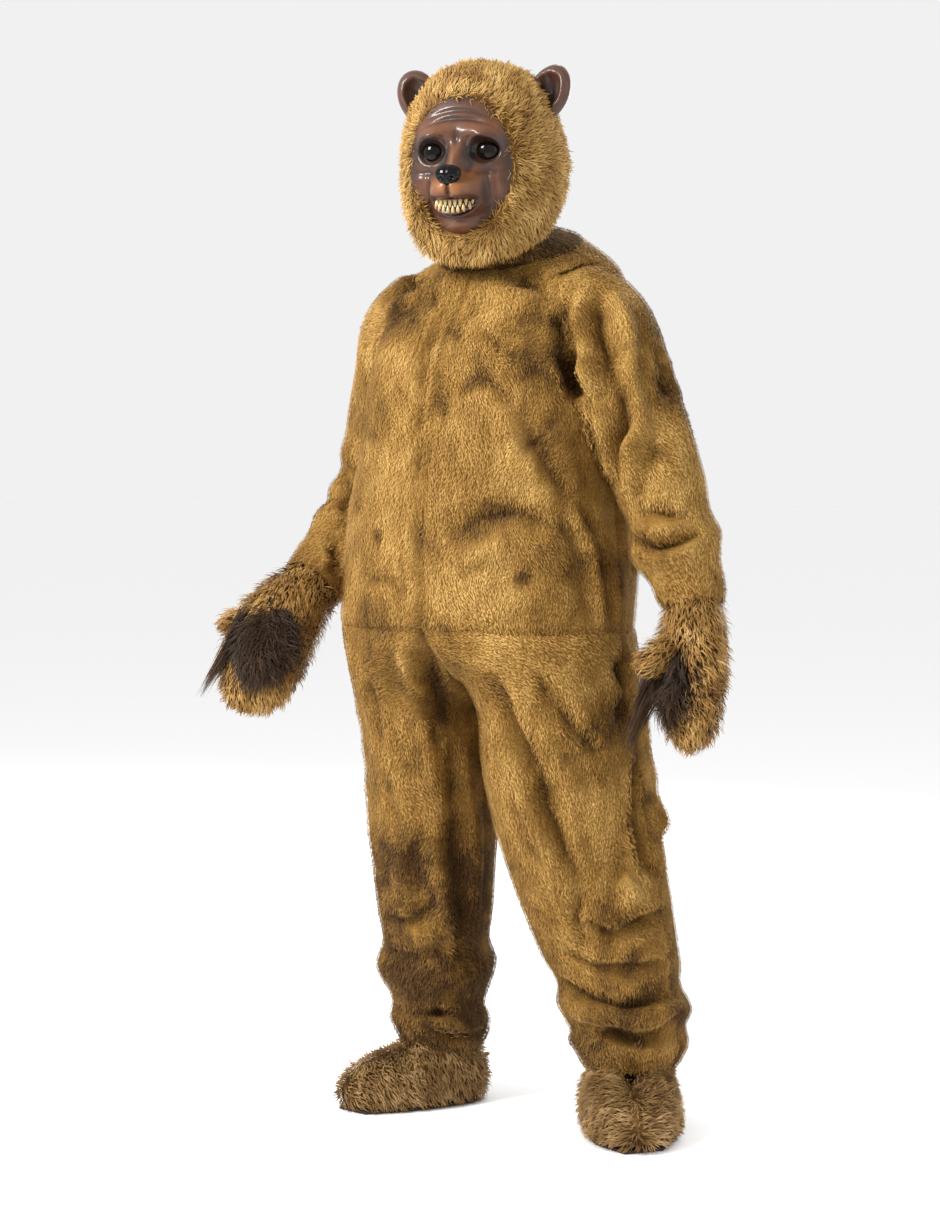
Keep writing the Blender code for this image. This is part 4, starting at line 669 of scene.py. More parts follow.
def under_suit(points):
    """The places a little below the suit's creased cloth that are nearest to each point."""
    places = np.array([whole_skin.find_nearest(point)[0] for point in points])
    below = PLUSH.sink + ALLOWANCE_UNDER + crease_depth(SUIT_CREASES, places)[0]
    return places - suit_outwards(places) * below[:, None]


SUIT_PATCHES = TORSO_PATCHES + SLEEVE_PATCHES + LEG_PATCHES + [
    BrushedAndShaded(x, y, -1.330, DARK_REACH, DARKER_AT_HEM) for x, y, _ in (LEFT_LEG[-1], RIGHT_LEG[-1])]
for n, panel in enumerate(PANELS):
    fur = PLUSH._replace(tone=panel.tone)
    if panel.node == "collar":
        fur = fur._replace(sink=0.004, density=70000)
    cloth, pile = fur_cloth(panel.node, panel.path, fur, down(panel.path), 11 + n, SUIT_CREASES, SUIT_PATCHES,
                            outwards=suit_outwards, under=under_suit)

# Hood
# The hood is two halves of long-pile fur, sewn from the brow over the crown to the nape, with a hole for the
# face. The fur is combed away from the face and stands thick all round.
HEAD_PLACE = Matrix.Translation((0.020, -0.046, 0.234)) @ Euler(
    (math.radians(3), 0, math.radians(17))).to_matrix().to_4x4()
HEAD_MIDDLE = [(0.020, -0.046, 0.2341), (0.020, -0.046, 0.2340)]
COMBED_FROM = HEAD_PLACE @ Vector((0, -0.120, 0.015))
TO_BACK = HEAD_PLACE.to_3x3() @ Vector((0, 1, 0))
HOOD_FUR = Fur(slot="head_fur", backing=backing_material("hood backing", "#4A3013", "#86602C", "#AD8647"),
               pile=pile_material("long acrylic fur", "#5C3D17", "#6C4818", "#A88143", "#D2B070", 0.65, 0.4),
               strand=long_strand, density=105000, length=0.0175, width=0.0018, lift=0.40, spread=0.38, tuft=0.018,
               sink=0.010, grain=0.040, contrast=0.55, tone=0.47, parting=-1.3)


def combed(points, normals):
    """Away from the face in front, and down to the nape behind."""
    behind = np.clip((points - np.array(HEAD_MIDDLE[0])) @ np.array(TO_BACK) / 0.12, 0, 1)[:, None]
    return unit(points - np.array(COMBED_FROM)) + behind * np.array([0, 0, -1.6])


for n, side in enumerate(("left", "right")):
    cloth, pile = fur_cloth(f"hood_{side}", HEAD_MIDDLE, HOOD_FUR, combed, 51 + n)

# Mitts and thumbs
# Each mitt is a bag of shaggy fur with a separate thumb. Its pile runs to the fingertips, in loose tufts with
# light tips and dark roots.
MITT_PATHS = {
    "left": [(0.422, -0.016, -0.500), (0.426, -0.021, -0.540), (0.430, -0.026, -0.580), (0.432, -0.030, -0.630),
             (0.430, -0.032, -0.680), (0.426, -0.034, -0.725)],
    "right": [(-0.340, -0.060, -0.490), (-0.349, -0.100, -0.526), (-0.360, -0.130, -0.562),
              (-0.370, -0.156, -0.608), (-0.380, -0.176, -0.654), (-0.386, -0.188, -0.694)],
}
THUMB_PATHS = {
    "left": [(0.422, -0.040, -0.570), (0.382, -0.124, -0.620)],
    "right": [(-0.362, -0.125, -0.568), (-0.446, -0.186, -0.568)],
}
SHAGGY = Fur(slot="long_fur", backing=backing_material("shaggy fur backing", "#2E1D0C", "#5E4320", "#8A6532"),
             pile=pile_material("shaggy acrylic fur", "#4A2F14", "#63421C", "#A1783D", "#D2AC6E", 0.7, 0.3),
             strand=long_strand, density=78000, length=0.023, width=0.0021, lift=0.46, spread=0.5, tuft=0.015,
             sink=0.009, grain=0.028, contrast=0.65, tone=0.45, parting=0.3)
for n, side in enumerate(("left", "right")):
    for piece, path, flat, area in (("mitt", MITT_PATHS[side], (0.42, 0.26), 0.082),
                                    ("thumb", THUMB_PATHS[side], (0.18, 0.07), 0.0065)):
        cloth, pile = fur_cloth(f"{piece}_{side}", path, SHAGGY, down(path), 61 + n, levels=1)

# Palms and their longest hair
# An oval of very long dark hair is let into each palm. Beside it the hair falls past the mitt in pointed locks,
# sewn in on a narrow strip.
DARK_HAIR = Fur(slot="palm_fur", backing=backing_material("dark backing", "#0C0805", "#1A110B", "#2A1E16"),
                pile=pile_material("long dark acrylic hair", "#120B06", "#1E130B", "#3B2818", "#6A4E36", 0.6, 0.05),
                strand=long_strand, density=230000, length=0.044, width=0.0015, lift=0.50, spread=0.62, tuft=0.014,
                sink=0.008, grain=0.02, contrast=0.5, tone=0.38, parting=0.0)
Locks = namedtuple("Locks", "first last spread lengths")
LOCKS = {
    "left": Locks((0.372, -0.049, -0.597), (0.376, -0.051, -0.668), (-0.34, -0.36, -0.86),
                  [0.062, 0.088, 0.070, 0.104, 0.082, 0.112, 0.074, 0.096]),
    "right": Locks((-0.385, -0.198, -0.540), (-0.400, -0.231, -0.618), (-0.44, -0.40, -0.80),
                   [0.060, 0.078, 0.096, 0.072, 0.100, 0.084, 0.092, 0.066]),
}
LOCK_DROOP, HAIRS_PER_LOCK, HAIR_STEPS = 1.6, 56, 6
LOCK_HALF_WIDTH, HAIR_WIDTH = 0.0095, 0.0013


def lock_hair(name, locks, seed):
    """Flat tapering hairs, drawn together to the middle of their lock and bent down by their weight."""
    chance = np.random.default_rng(seed)
    first, last, spread = Vector(locks.first), Vector(locks.last), Vector(locks.spread).normalized()
    points, faces, shade, along = [], [], [], []
    for k, length in enumerate(locks.lengths):
        middle = first.lerp(last, (k + 0.5) / len(locks.lengths))
        for _ in range(HAIRS_PER_LOCK):
            root = middle + Vector(chance.uniform(-LOCK_HALF_WIDTH, LOCK_HALF_WIDTH, 3))
            reach = length * chance.uniform(0.72, 1.06)
            drawn, tone = chance.uniform(0.10, 0.95), chance.uniform(0.1, 0.9)
            side = Vector(chance.uniform(-1, 1, 3)).cross(spread).normalized()
            for step in range(HAIR_STEPS + 1):
                share = step / HAIR_STEPS
                run = reach * share
                place = root.lerp(middle, drawn * share) + spread * run + Vector((0, 0, -LOCK_DROOP * run * run))
                half = side * (HAIR_WIDTH / 2 * (1 - 0.85 * share))
                points += [place - half, place + half]
                shade += [tone, tone]
                along += [share, share]
                if step:
                    a = len(points) - 4
                    faces.append((a, a + 1, a + 3, a + 2))
    mesh = bpy.data.meshes.new(name)
    mesh.from_pydata(points, [], faces)
    mesh.attributes.new("shade", "FLOAT", "POINT").data.foreach_set("value", shade)
    mesh.attributes.new("along", "FLOAT", "POINT").data.foreach_set("value", along)
    chart = mesh.uv_layers.new(name="OFBake")
    chart.uv.foreach_set("vector", [value for loop in mesh.loops
                                    for value in (shade[loop.vertex_index], along[loop.vertex_index])])
    return mesh


for n, side in enumerate(("left", "right")):
    path = MITT_PATHS[side]
    cloth, pile = fur_cloth(f"palm_{side}", path, DARK_HAIR, down(path), 71 + n, levels=1)
    sew(f"palm_locks_{side}_hair", lock_hair(f"palm locks {side}", LOCKS[side], 75 + n), DARK_HAIR.pile,
        [f"palm_locks_{side}"])

# Foot covers and soles
# Each foot cover is a slipper of worn shaggy fur with a seam along the toe, from which the pile falls to both
# sides. A dark felt sole lies under it, flat on the floor.
FOOT_PATHS = {
    "left": [(0.229, 0.099, -1.330), (0.229, 0.099, -1.400), (0.304, -0.008, -1.410)],
    "right": [(-0.162, 0.080, -1.330), (-0.162, 0.080, -1.400), (-0.211, -0.041, -1.410)],
}
TOE_SEAMS = {"left": [(0.229, 0.099, -1.300), (0.298, 0.001, -1.345), (0.350, -0.073, -1.405)],
             "right": [(-0.162, 0.080, -1.300), (-0.207, -0.031, -1.345), (-0.241, -0.115, -1.405)]}
WORN = SHAGGY._replace(
    pile=pile_material("worn shaggy fur", "#3E2812", "#57391A", "#86663B", "#B8976A", 0.75, 0.3),
    length=0.019, tone=0.48, parting=0.35)


# The felt is cut a little smaller than the cover, whose fur hangs over it
SOLE_TUCK = 0.90


def from_toe_seam(side):
    return lambda points, normals: points - nearest_on(TOE_SEAMS[side], points)[0] + np.array([0, 0, -0.008])


felt = bpy.data.materials.new("dark needled felt")
felt.use_nodes = True
felt_surface = felt.node_tree.nodes["Principled BSDF"]
felt_place = add_node(felt.node_tree, "ShaderNodeTexCoord")
fibres = add_node(felt.node_tree, "ShaderNodeTexNoise", {
    "Vector": felt_place.outputs["Object"], "Scale": 420.0, "Detail": 3.0})
felt_colour = add_node(felt.node_tree, "ShaderNodeValToRGB", {"Fac": fibres.outputs["Fac"]},
                       [(0.3, "#2A1F18"), (0.7, "#453528")])
felt.node_tree.links.new(felt_colour.outputs["Color"], felt_surface.inputs["Base Color"])
felt_surface.inputs["Roughness"].default_value = 0.95
for n, side in enumerate(("left", "right")):
    path = FOOT_PATHS[side]
    toe_dark = [BrushedAndShaded(*point, 0.024, -0.30) for point in TOE_SEAMS[side][1:]]
    toe_dip = [Crease(0.010, 0.004, TOE_SEAMS[side])]
    cloth, pile = fur_cloth(f"foot_{side}", path, WORN, from_toe_seam(side), 81 + n, toe_dip, toe_dark)
    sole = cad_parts[f"sole_{side}"].data.copy()
    corners = vectors(sole.vertices, "co", len(sole.vertices))
    middle = corners.mean(axis=0) * [1, 1, 0]
    sole.vertices.foreach_set("co", ((corners - middle) * [SOLE_TUCK, SOLE_TUCK, 1] + middle).ravel())
    sew(f"sole_{side}_felt", sole, felt, [f"sole_{side}"])

# Moulded face
# The face is one hollow moulding of soft latex, painted in warm browns and varnished, with open eye rims, a
# muzzle and lips. It is glued inside the hood's face hole.
FaceForm = namedtuple("FaceForm", "x z half_width half_height lift steep bend", defaults=(1, 0.0))
FACE_FORMS = [
    FaceForm(0.000, -0.060, 0.046, 0.038, 0.042, 2),
    FaceForm(0.030, -0.058, 0.026, 0.030, 0.010),
    FaceForm(0.000, -0.010, 0.020, 0.040, 0.020),
    FaceForm(0.046, 0.046, 0.034, 0.017, 0.014),
    FaceForm(0.047, 0.012, 0.021, 0.017, -0.016),
    FaceForm(0.062, -0.030, 0.026, 0.030, 0.008),
    FaceForm(0.000, 0.080, 0.060, 0.030, 0.006),
    FaceForm(0.000, -0.110, 0.034, 0.018, 0.016),
]
# Finer forms: the two pads of the muzzle and the groove between them, the folds beside it, the brows, the arched
# creases of the forehead, the inner corners of the eyes and the chin. steep gives a form a firmer edge, and bend
# curves it up to the sides.
FACE_DETAILS = [
    FaceForm(0.019, -0.054, 0.019, 0.016, 0.0060, 2),
    FaceForm(0.000, -0.054, 0.0032, 0.016, -0.0070),
    FaceForm(0.000, -0.012, 0.014, 0.026, 0.006),
    FaceForm(0.051, -0.052, 0.007, 0.030, -0.0100),
    FaceForm(0.064, -0.046, 0.006, 0.026, -0.0045),
    FaceForm(0.058, -0.022, 0.024, 0.005, -0.0065),
    FaceForm(0.047, 0.046, 0.030, 0.010, 0.0100, 1, -3.0),
    FaceForm(0.000, 0.034, 0.006, 0.012, -0.0050),
    FaceForm(0.000, 0.066, 0.060, 0.0042, -0.0044, 2, -4.0),
    FaceForm(0.000, 0.080, 0.050, 0.0042, -0.0036, 2, -4.0),
    FaceForm(0.021, 0.012, 0.007, 0.013, -0.0050),
    FaceForm(0.022, -0.022, 0.007, 0.010, -0.0040),
    FaceForm(0.000, -0.101, 0.030, 0.004, -0.0045, 1, 6.0),
    FaceForm(0.000, -0.112, 0.024, 0.010, 0.0060),
]
MOUTH = FaceForm(0.000, -0.080, 0.043, 0.0140, -0.020, 2, 7.0)
Eye = namedtuple("Eye", "x z radius set_back")
EYE = Eye(0.047, 0.013, 0.0235, 0.0065)
FACE_MIDDLE_Z, FACE_DEPTH, FACE_BEND = -0.012, 0.146, (0.165, 0.21)
FACE_HALF_SIZE = (0.0894, 0.1172)
FACE_SPOKES, FACE_RINGS = 128, 50


def face_height(x, z, forms):
    """How far the face stands out in front of the head's middle, with its forms mirrored."""
    level = z - FACE_MIDDLE_Z
    height = FACE_DEPTH * np.sqrt(np.maximum(0, 1 - (x / FACE_BEND[0]) ** 2 - (level / FACE_BEND[1]) ** 2))
    for form in forms:
        level = z - form.z - form.bend * x * x
        for sign in (1, -1):
            away = ((x - sign * form.x) / form.half_width) ** 2 + (level / form.half_height) ** 2
            height = height + form.lift * np.exp(-(away**form.steep)) * (1 if form.x else 0.5)
    return height


def rims(x, z):
    """The rolled rims of the eyes and of the lips, which stand out round their openings."""
    from_eye = np.hypot((np.abs(x) - EYE.x) / 0.0270, (z - EYE.z) / 0.0240)
    from_mouth = np.hypot(x / 0.0445, (z - MOUTH.z - MOUTH.bend * x * x) / 0.0168)
    lid = (0.0052 + 0.0018 * np.clip((z - EYE.z) / 0.02, -1, 1)) * np.exp(-(((from_eye - 1) / 0.15) ** 2))
    return lid + 0.0040 * np.exp(-(((from_mouth - 1) / 0.15) ** 2))


# A painted area of the face, mirrored. Its edge is soft, and share is how far it covers what lies under it.
Paint = namedtuple("Paint", "x z half_width half_height colour share bend", defaults=(0.0,))
FACE_PAINT = [
    Paint(0.058, -0.034, 0.034, 0.036, "#5C3319", 0.60),
    Paint(0.046, 0.050, 0.036, 0.014, "#6D4020", 0.70),
    Paint(0.000, 0.088, 0.050, 0.020, "#4E2F1C", 0.50),
    Paint(0.000, -0.050, 0.042, 0.032, "#8E5A30", 0.85),
    Paint(0.000, 0.004, 0.012, 0.034, "#6E4426", 0.60),
    Paint(0.000, -0.110, 0.032, 0.014, "#6A4024", 0.60),
    Paint(0.023, -0.004, 0.007, 0.022, "#190C06", 0.75),
    Paint(0.047, 0.013, 0.032, 0.027, "#110806", 0.95),
    Paint(0.024, 0.012, 0.012, 0.014, "#110806", 0.75),
    Paint(0.051, -0.052, 0.006, 0.030, "#190C06", 0.75),
    Paint(0.000, -0.056, 0.004, 0.014, "#190C06", 0.70),
    Paint(0.000, -0.080, 0.050, 0.021, "#3A0F0D", 0.92, 7.0),
    Paint(0.000, -0.080, 0.042, 0.014, "#120404", 1.00, 7.0),
    Paint(0.000, 0.034, 0.006, 0.014, "#190C06", 0.65),
    Paint(0.000, 0.066, 0.058, 0.004, "#1C0E07", 0.60, -4.0),
    Paint(0.000, 0.080, 0.048, 0.004, "#1C0E07", 0.50, -4.0),
    Paint(0.058, -0.022, 0.024, 0.006, "#190C06", 0.60),
    Paint(0.000, -0.101, 0.030, 0.004, "#1C0E07", 0.50, 6.0),
    Paint(0.000, 0.110, 0.070, 0.018, "#22120A", 0.70),
    Paint(0.090, 0.000, 0.018, 0.080, "#22120A", 0.70),
]


def painted(x, z, base, areas):
    """The paint over a base colour at each place, thinned by hand into light and dark clouds."""
    colour = np.tile(np.array(linear(base)), (len(x), 1))
    for area in areas:
        for sign in (1, -1) if area.x else (1,):
            level = z - area.z - area.bend * x * x
            away = ((x - sign * area.x) / area.half_width) ** 2 + (level / area.half_height) ** 2
            cover = (area.share * np.exp(-(away**2)))[:, None]
            colour = colour * (1 - cover) + np.array(linear(area.colour)) * cover
    clouds = np.array([noise.noise(Vector((a / 0.016, b / 0.016, 4))) for a, b in zip(x, z)])
    specks = np.array([noise.noise(Vector((a / 0.004, b / 0.004, 9))) for a, b in zip(x, z)])
    colour[:, :3] *= (1 + 0.30 * clouds + 0.16 * specks)[:, None]
    return np.clip(colour, 0, 1)


latex = bpy.data.materials.new("painted and varnished latex")
latex.use_nodes = True
latex_surface = latex.node_tree.nodes["Principled BSDF"]
latex_paint = add_node(latex.node_tree, "ShaderNodeAttribute", attribute_name="paint")
latex_place = add_node(latex.node_tree, "ShaderNodeTexCoord")
pores = add_node(latex.node_tree, "ShaderNodeTexNoise", {
    "Vector": latex_place.outputs["Object"], "Scale": 240.0, "Detail": 3.0})
pitted = add_node(latex.node_tree, "ShaderNodeBump", {
    "Height": pores.outputs["Fac"], "Distance": 0.0012, "Strength": 0.35})
latex.node_tree.links.new(latex_paint.outputs["Color"], latex_surface.inputs["Base Color"])
latex.node_tree.links.new(pitted.outputs["Normal"], latex_surface.inputs["Normal"])
latex_surface.inputs["Roughness"].default_value = 0.50
latex_surface.inputs["Specular IOR Level"].default_value = 0.30
latex_surface.inputs["Coat Weight"].default_value = 0.35
latex_surface.inputs["Coat Roughness"].default_value = 0.16


def moulding(name, points, faces, colours):
    """A mesh in the head's frame, set in its place and carrying its paint."""
    mesh = bpy.data.meshes.new(name)
    mesh.from_pydata([HEAD_PLACE @ Vector(point) for point in points], [], faces)
    mesh.attributes.new("paint", "FLOAT_COLOR", "POINT").data.foreach_set("color", np.ravel(colours))
    return mesh


turns = np.linspace(0, 2 * math.pi, FACE_SPOKES, endpoint=False)
shares = np.repeat(1 - np.arange(FACE_RINGS) / FACE_RINGS, FACE_SPOKES)
around = np.tile(turns, FACE_RINGS)
face_x = np.append(FACE_HALF_SIZE[0] * shares * np.cos(around), 0.0)
face_z = np.append(FACE_MIDDLE_Z + FACE_HALF_SIZE[1] * shares * np.sin(around), FACE_MIDDLE_Z)
face_y = -face_height(face_x, face_z, FACE_FORMS + FACE_DETAILS + [MOUTH]) - rims(face_x, face_z)
face_faces = []
for ring in range(FACE_RINGS):
    for i in range(FACE_SPOKES):
        a, b = ring * FACE_SPOKES + i, ring * FACE_SPOKES + (i + 1) % FACE_SPOKES
        last = ring == FACE_RINGS - 1
        face_faces.append((a, b, len(face_x) - 1) if last else (a, b, b + FACE_SPOKES, a + FACE_SPOKES))
mask = sew("mask_moulding", moulding("mask", np.stack([face_x, face_y, face_z], axis=1), face_faces,
                                     painted(face_x, face_z, "#4A2B19", FACE_PAINT)), latex, ["mask"])
mask_wall = mask.modifiers.new("wall", "SOLIDIFY")
mask_wall.thickness, mask_wall.offset = 0.003, -1.0

# Ears
# Each ear is a cupped latex moulding, glued on the hood. Its cup is painted darker, and the fur hides its foot.
EAR_CENTRE = (0.115, 0.006, 0.112)
EAR_SIZE, EAR_CUP_SIZE = (0.038, 0.020, 0.052), (0.028, 0.024, 0.040)
EAR_CUP_FORWARD = 0.022
EAR_TURN = (-8, 28, -14)
EAR_SPOKES, EAR_RINGS = 48, 14
for side, sign in (("left", 1), ("right", -1)):
    ear_place = Matrix.Translation((sign * EAR_CENTRE[0], *EAR_CENTRE[1:])) @ Euler(
        (math.radians(EAR_TURN[0]), sign * math.radians(EAR_TURN[1]),
         sign * math.radians(EAR_TURN[2]))).to_matrix().to_4x4()
    ear_points, ear_faces, ear_colours = [], [], []
    rows = [(ring / EAR_RINGS, -1) for ring in range(EAR_RINGS + 1)] + [
        (1 - ring / EAR_RINGS, 1) for ring in range(1, EAR_RINGS + 1)]
    for share, face_side in rows:
        for i in range(EAR_SPOKES):
            turn = 2 * math.pi * i / EAR_SPOKES
            x, z = EAR_SIZE[0] * share * math.cos(turn), EAR_SIZE[2] * share * math.sin(turn)
            y = face_side * EAR_SIZE[1] * math.sqrt(max(0.0, 1 - share**2))
            inside = 1 - (x / EAR_CUP_SIZE[0]) ** 2 - (z / EAR_CUP_SIZE[2]) ** 2
            cupped = face_side < 0 and inside > 0
            if cupped:
                y = max(y, EAR_CUP_SIZE[1] * math.sqrt(inside) - EAR_CUP_FORWARD)
                y += 0.0012 * math.sin(x / 0.0035 + 3 * z / 0.02)
            ear_points.append(ear_place @ Vector((x, y, z)))
            depth = max(0.0, inside) if cupped else 0.0
            low, high = np.array(linear("#4C2E1F")), np.array(linear("#1C0E09"))
            ear_colours.append(low * (1 - depth) + high * depth)
    for row in range(len(rows) - 1):
        for i in range(EAR_SPOKES):
            a, b = row * EAR_SPOKES + i, row * EAR_SPOKES + (i + 1) % EAR_SPOKES
            ear_faces.append((a, a + EAR_SPOKES, b + EAR_SPOKES, b))
    ear_mesh = moulding(f"ear {side}", ear_points, ear_faces, ear_colours)
    ear = bmesh.new()
    ear.from_mesh(ear_mesh)
    bmesh.ops.remove_doubles(ear, verts=ear.verts, dist=0.00002)
    bmesh.ops.recalc_face_normals(ear, faces=ear.faces)
    ear.to_mesh(ear_mesh)
    ear.free()
    sew(f"ear_{side}_moulding", ear_mesh, latex, [f"ear_{side}"])

# Eyes and nose
# The eyes are domes of clear resin over a dark brown iris. The nose is a black pad cast with two nostrils. Both
# are set into the moulding.
gloss = bpy.data.materials.new("black cast resin")
gloss.use_nodes = True
gloss_surface = gloss.node_tree.nodes["Principled BSDF"]
gloss_paint = add_node(gloss.node_tree, "ShaderNodeAttribute", attribute_name="paint")
gloss.node_tree.links.new(gloss_paint.outputs["Color"], gloss_surface.inputs["Base Color"])
gloss_surface.inputs["Roughness"].default_value = 0.07
gloss_surface.inputs["Specular IOR Level"].default_value = 0.22
PUPIL, IRIS = 0.36, 0.66
NOSE_HEIGHT, NOSE_SET_BACK, NOSE_SIZE = -0.029, -0.004, (0.0225, 0.0150, 0.0175)
NOSTRIL = FaceForm(0.0090, -0.0050, 0.0046, 0.0034, 0.0060)


def ball(segments, rings):
    """The points and faces of a ball of radius 1 with its poles on the Y axis."""
    points, faces = [(0, -1, 0)], []
    for ring in range(1, rings):
        lean = math.pi * ring / rings
        for i in range(segments):
            turn = 2 * math.pi * i / segments
            points.append((math.sin(lean) * math.cos(turn), -math.cos(lean), math.sin(lean) * math.sin(turn)))
    points.append((0, 1, 0))
    for i in range(segments):
        j = (i + 1) % segments
        faces.append((0, 1 + i, 1 + j))
        for ring in range(rings - 2):
            a = 1 + ring * segments
            faces.append((a + i, a + segments + i, a + segments + j, a + j))
        tail = 1 + (rings - 2) * segments
        faces.append((tail + i, len(points) - 1, tail + j))
    return np.array(points), faces


for side, sign in (("left", 1), ("right", -1)):
    points, faces = ball(40, 32)
    off_axis = np.arccos(np.clip(-points[:, 1], -1, 1))
    colours = np.tile(np.array(linear("#040302")), (len(points), 1))
    colours[(off_axis > PUPIL) & (off_axis < IRIS)] = linear("#120803")
    eye_y = -face_height(np.array(EYE.x), np.array(EYE.z), FACE_FORMS + [MOUTH]) + EYE.set_back
    points = points * EYE.radius + np.array([sign * EYE.x, float(eye_y), EYE.z])
    sew(f"eye_{side}_glass", moulding(f"eye {side}", points, faces, colours), gloss,
        [f"eye_{side}"])
points, faces = ball(56, 40)
widening = 1 + 0.22 * points[:, 2]
nose_x, nose_z = points[:, 0] * NOSE_SIZE[0] * widening, points[:, 2] * NOSE_SIZE[2]
nose_y = points[:, 1] * NOSE_SIZE[1]
for sign in (1, -1):
    away = ((nose_x - sign * NOSTRIL.x) / NOSTRIL.half_width) ** 2 + ((nose_z - NOSTRIL.z) / NOSTRIL.half_height) ** 2
    nose_y = nose_y + np.where(points[:, 1] < 0, NOSTRIL.lift * np.exp(-away), 0)
nose_y += np.where(points[:, 1] < 0, 0.0016 * np.exp(-((nose_x / 0.0018) ** 2)), 0)
nose_y += float(-face_height(np.array(0.0), np.array(NOSE_HEIGHT), FACE_FORMS + [MOUTH])) + NOSE_SET_BACK
sew("nose_pad", moulding("nose", np.stack([nose_x, nose_y, nose_z + NOSE_HEIGHT], axis=1), faces,
                         np.tile(np.array(linear("#060404")), (len(points), 1))), gloss, ["nose"])

# Teeth and gums
# Two even rows of cream teeth are cast in resin and set in dark-red gums, inside the lips.
TEETH, TEETH_HALF_WIDTH = 8, 0.034
BITE, BITE_CLOSES_AT = 0.0106, 0.052
TOOTH_HALF_SIZE = (0.0043, 0.0032, 0.0074)
TOOTH_SQUARENESS, TOOTH_TAPER = 0.70, 0.36
GUM_STEPS, GUM_SPOKES, GUM_HALF_SIZE = 40, 12, (0.0034, 0.0026)
enamel = bpy.data.materials.new("cream resin")
enamel.use_nodes = True
enamel_surface = enamel.node_tree.nodes["Principled BSDF"]
enamel_paint = add_node(enamel.node_tree, "ShaderNodeAttribute", attribute_name="paint")
enamel.node_tree.links.new(enamel_paint.outputs["Color"], enamel_surface.inputs["Base Color"])
enamel_surface.inputs["Roughness"].default_value = 0.28
enamel_surface.inputs["Coat Weight"].default_value = 0.5


def on_jaw(x, sign, share):
    """A place on a row of teeth, a share of the way from the line where they meet to the gum."""
    bite = BITE * (1 - (x / BITE_CLOSES_AT) ** 2)
    return Vector((x, -float(face_height(np.array(x), np.array(MOUTH.z), FACE_FORMS)) + 0.0028,
                   MOUTH.z + MOUTH.bend * x * x + sign * bite * share))


for row_name, sign in (("upper", 1), ("lower", -1)):
    points, faces, colours = [], [], []
    shape, shape_faces = ball(14, 10)
    squared = np.sign(shape) * np.abs(shape) ** TOOTH_SQUARENESS
    for k in range(TEETH):
        x = TEETH_HALF_WIDTH * (2 * (k + 0.5 + 0.22 * sign) / TEETH - 1)
        start = len(points)
        for corner in squared:
            narrowed = 1 - TOOTH_TAPER * (1 - sign * corner[2])
            place = on_jaw(x, sign, 0.50) + Vector(corner * np.array(TOOTH_HALF_SIZE) * [narrowed, narrowed, 1])
            points.append(place)
            to_gum = max(0.0, sign * corner[2])
            colours.append(np.array(linear("#B2985E")) * (1 - 0.6 * to_gum) + np.array(linear("#4A2A12")) * 0.6 * to_gum)
        faces += [tuple(start + i for i in face) for face in shape_faces]
    for step in range(GUM_STEPS + 1):
        x = TEETH_HALF_WIDTH * 1.12 * (2 * step / GUM_STEPS - 1)
        for i in range(GUM_SPOKES):
            turn = 2 * math.pi * i / GUM_SPOKES
            points.append(on_jaw(x, sign, 1.06) + Vector((0, GUM_HALF_SIZE[0] * math.cos(turn) + 0.001,
                                                          GUM_HALF_SIZE[1] * math.sin(turn))))
            colours.append(np.array(linear("#3E0F0E")))
    first_gum = len(points) - (GUM_STEPS + 1) * GUM_SPOKES
    for step in range(GUM_STEPS):
        for i in range(GUM_SPOKES):
            a, b = first_gum + step * GUM_SPOKES + i, first_gum + step * GUM_SPOKES + (i + 1) % GUM_SPOKES
            faces.append((a, b, b + GUM_SPOKES, a + GUM_SPOKES))
    for step in (0, GUM_STEPS):
        ring = [first_gum + step * GUM_SPOKES + i for i in range(GUM_SPOKES)]
        faces.append(tuple(ring[::-1] if step == 0 else ring))
    teeth_mesh = moulding(f"teeth {row_name}", points, faces, colours)
    solid = bmesh.new()
    solid.from_mesh(teeth_mesh)
    bmesh.ops.recalc_face_normals(solid, faces=solid.faces)
    solid.to_mesh(teeth_mesh)
    solid.free()
    sew(f"teeth_{row_name}_row", teeth_mesh, enamel, [f"teeth_{row_name}"])

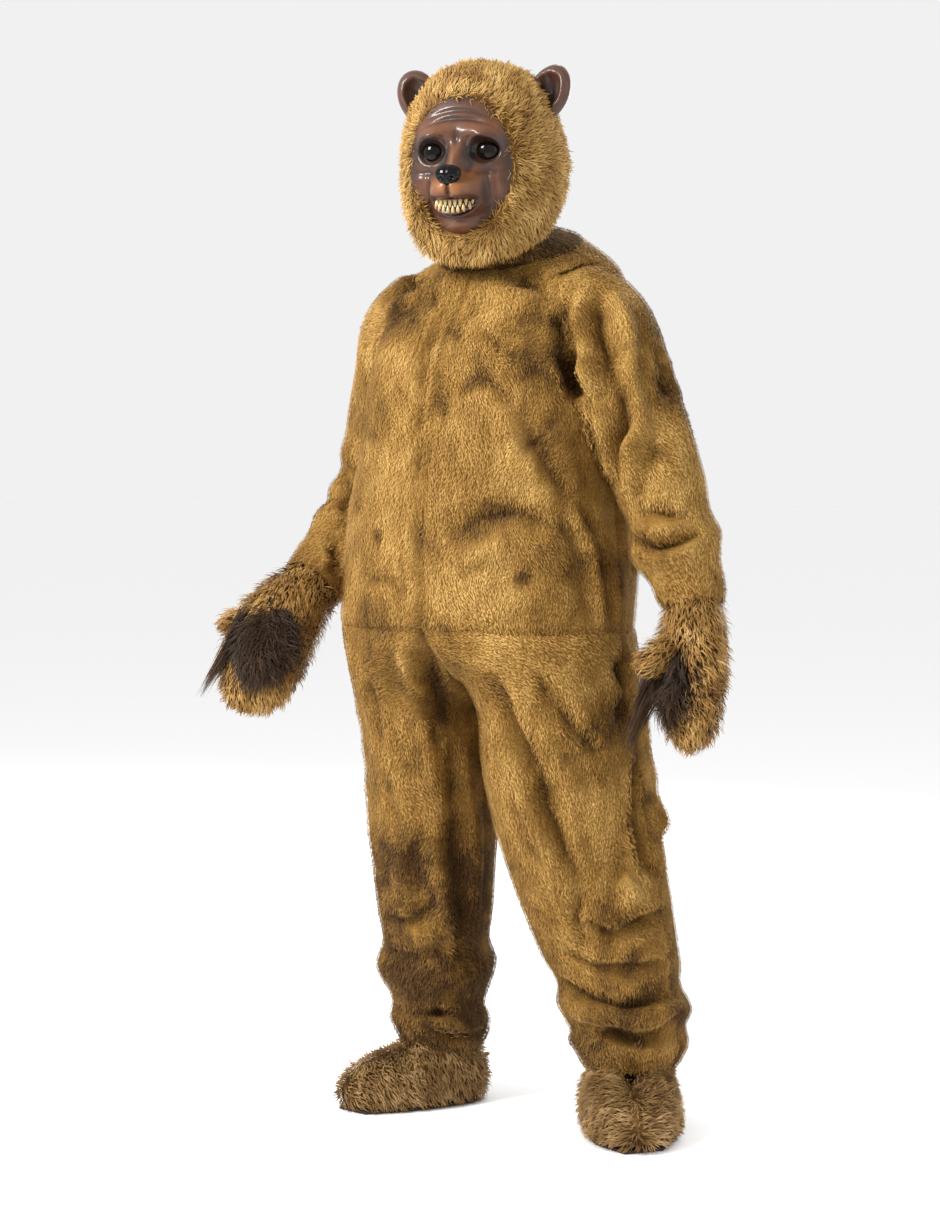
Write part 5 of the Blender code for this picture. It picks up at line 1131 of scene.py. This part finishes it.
# Floor, light and camera
# A plain pale studio floor, a large soft key light from the viewer's left, a weak fill and a back light, and the
# camera that stands 35 degrees round to the wearer's left.
scene = bpy.context.scene
FLOOR_REACH, FLOOR_LEVEL = 40, -1.4405
floor_mesh = bpy.data.meshes.new("floor")
floor_mesh.from_pydata([(x * FLOOR_REACH, y * FLOOR_REACH, FLOOR_LEVEL)
                        for x, y in ((-1, -1), (1, -1), (1, 1), (-1, 1))], [], [(0, 1, 2, 3)])
floor = bpy.data.objects.new("floor", floor_mesh)
scene.collection.objects.link(floor)
paper = bpy.data.materials.new("matt white paper")
paper.use_nodes = True
paper.node_tree.nodes["Principled BSDF"].inputs["Base Color"].default_value = linear("#FFFFFF")
paper.node_tree.nodes["Principled BSDF"].inputs["Roughness"].default_value = 0.9
floor_mesh.materials.append(paper)
Light = namedtuple("Light", "name azimuth height distance size power")
for light in (Light("key", -22, 1.7, 3.2, 1.2, 205), Light("fill", 95, 0.6, 3.4, 2.2, 18),
              Light("back", 190, 1.3, 3.4, 2.2, 90)):
    lamp = bpy.data.lights.new(light.name, "AREA")
    lamp.size, lamp.energy = light.size, light.power
    made = bpy.data.objects.new(light.name, lamp)
    scene.collection.objects.link(made)
    turn = math.radians(light.azimuth)
    made.location = (light.distance * math.sin(turn), -light.distance * math.cos(turn), light.height)
    made.rotation_euler = (Vector((0, 0, -0.45)) - made.location).to_track_quat("-Z", "Y").to_euler()
world = bpy.data.worlds.new("studio")
scene.world = world
world.use_nodes = True
world.node_tree.nodes["Background"].inputs["Color"].default_value = linear("#FFFFFF")
world.node_tree.nodes["Background"].inputs["Strength"].default_value = 0.88
scene.view_settings.view_transform = "Standard"

camera_data = bpy.data.cameras.new("camera")
camera_data.sensor_fit = "VERTICAL"
camera_data.sensor_height = 24.0
camera_data.lens = 2862 / 1215 * 24.0
camera_data.shift_x = -20 / 1215
camera = bpy.data.objects.new("camera", camera_data)
scene.collection.objects.link(camera)
camera.location = (5 * math.sin(math.radians(35)), -5 * math.cos(math.radians(35)), -0.24)
camera.rotation_euler = (math.radians(90 - 3.38), 0, math.radians(35))
scene.camera = camera
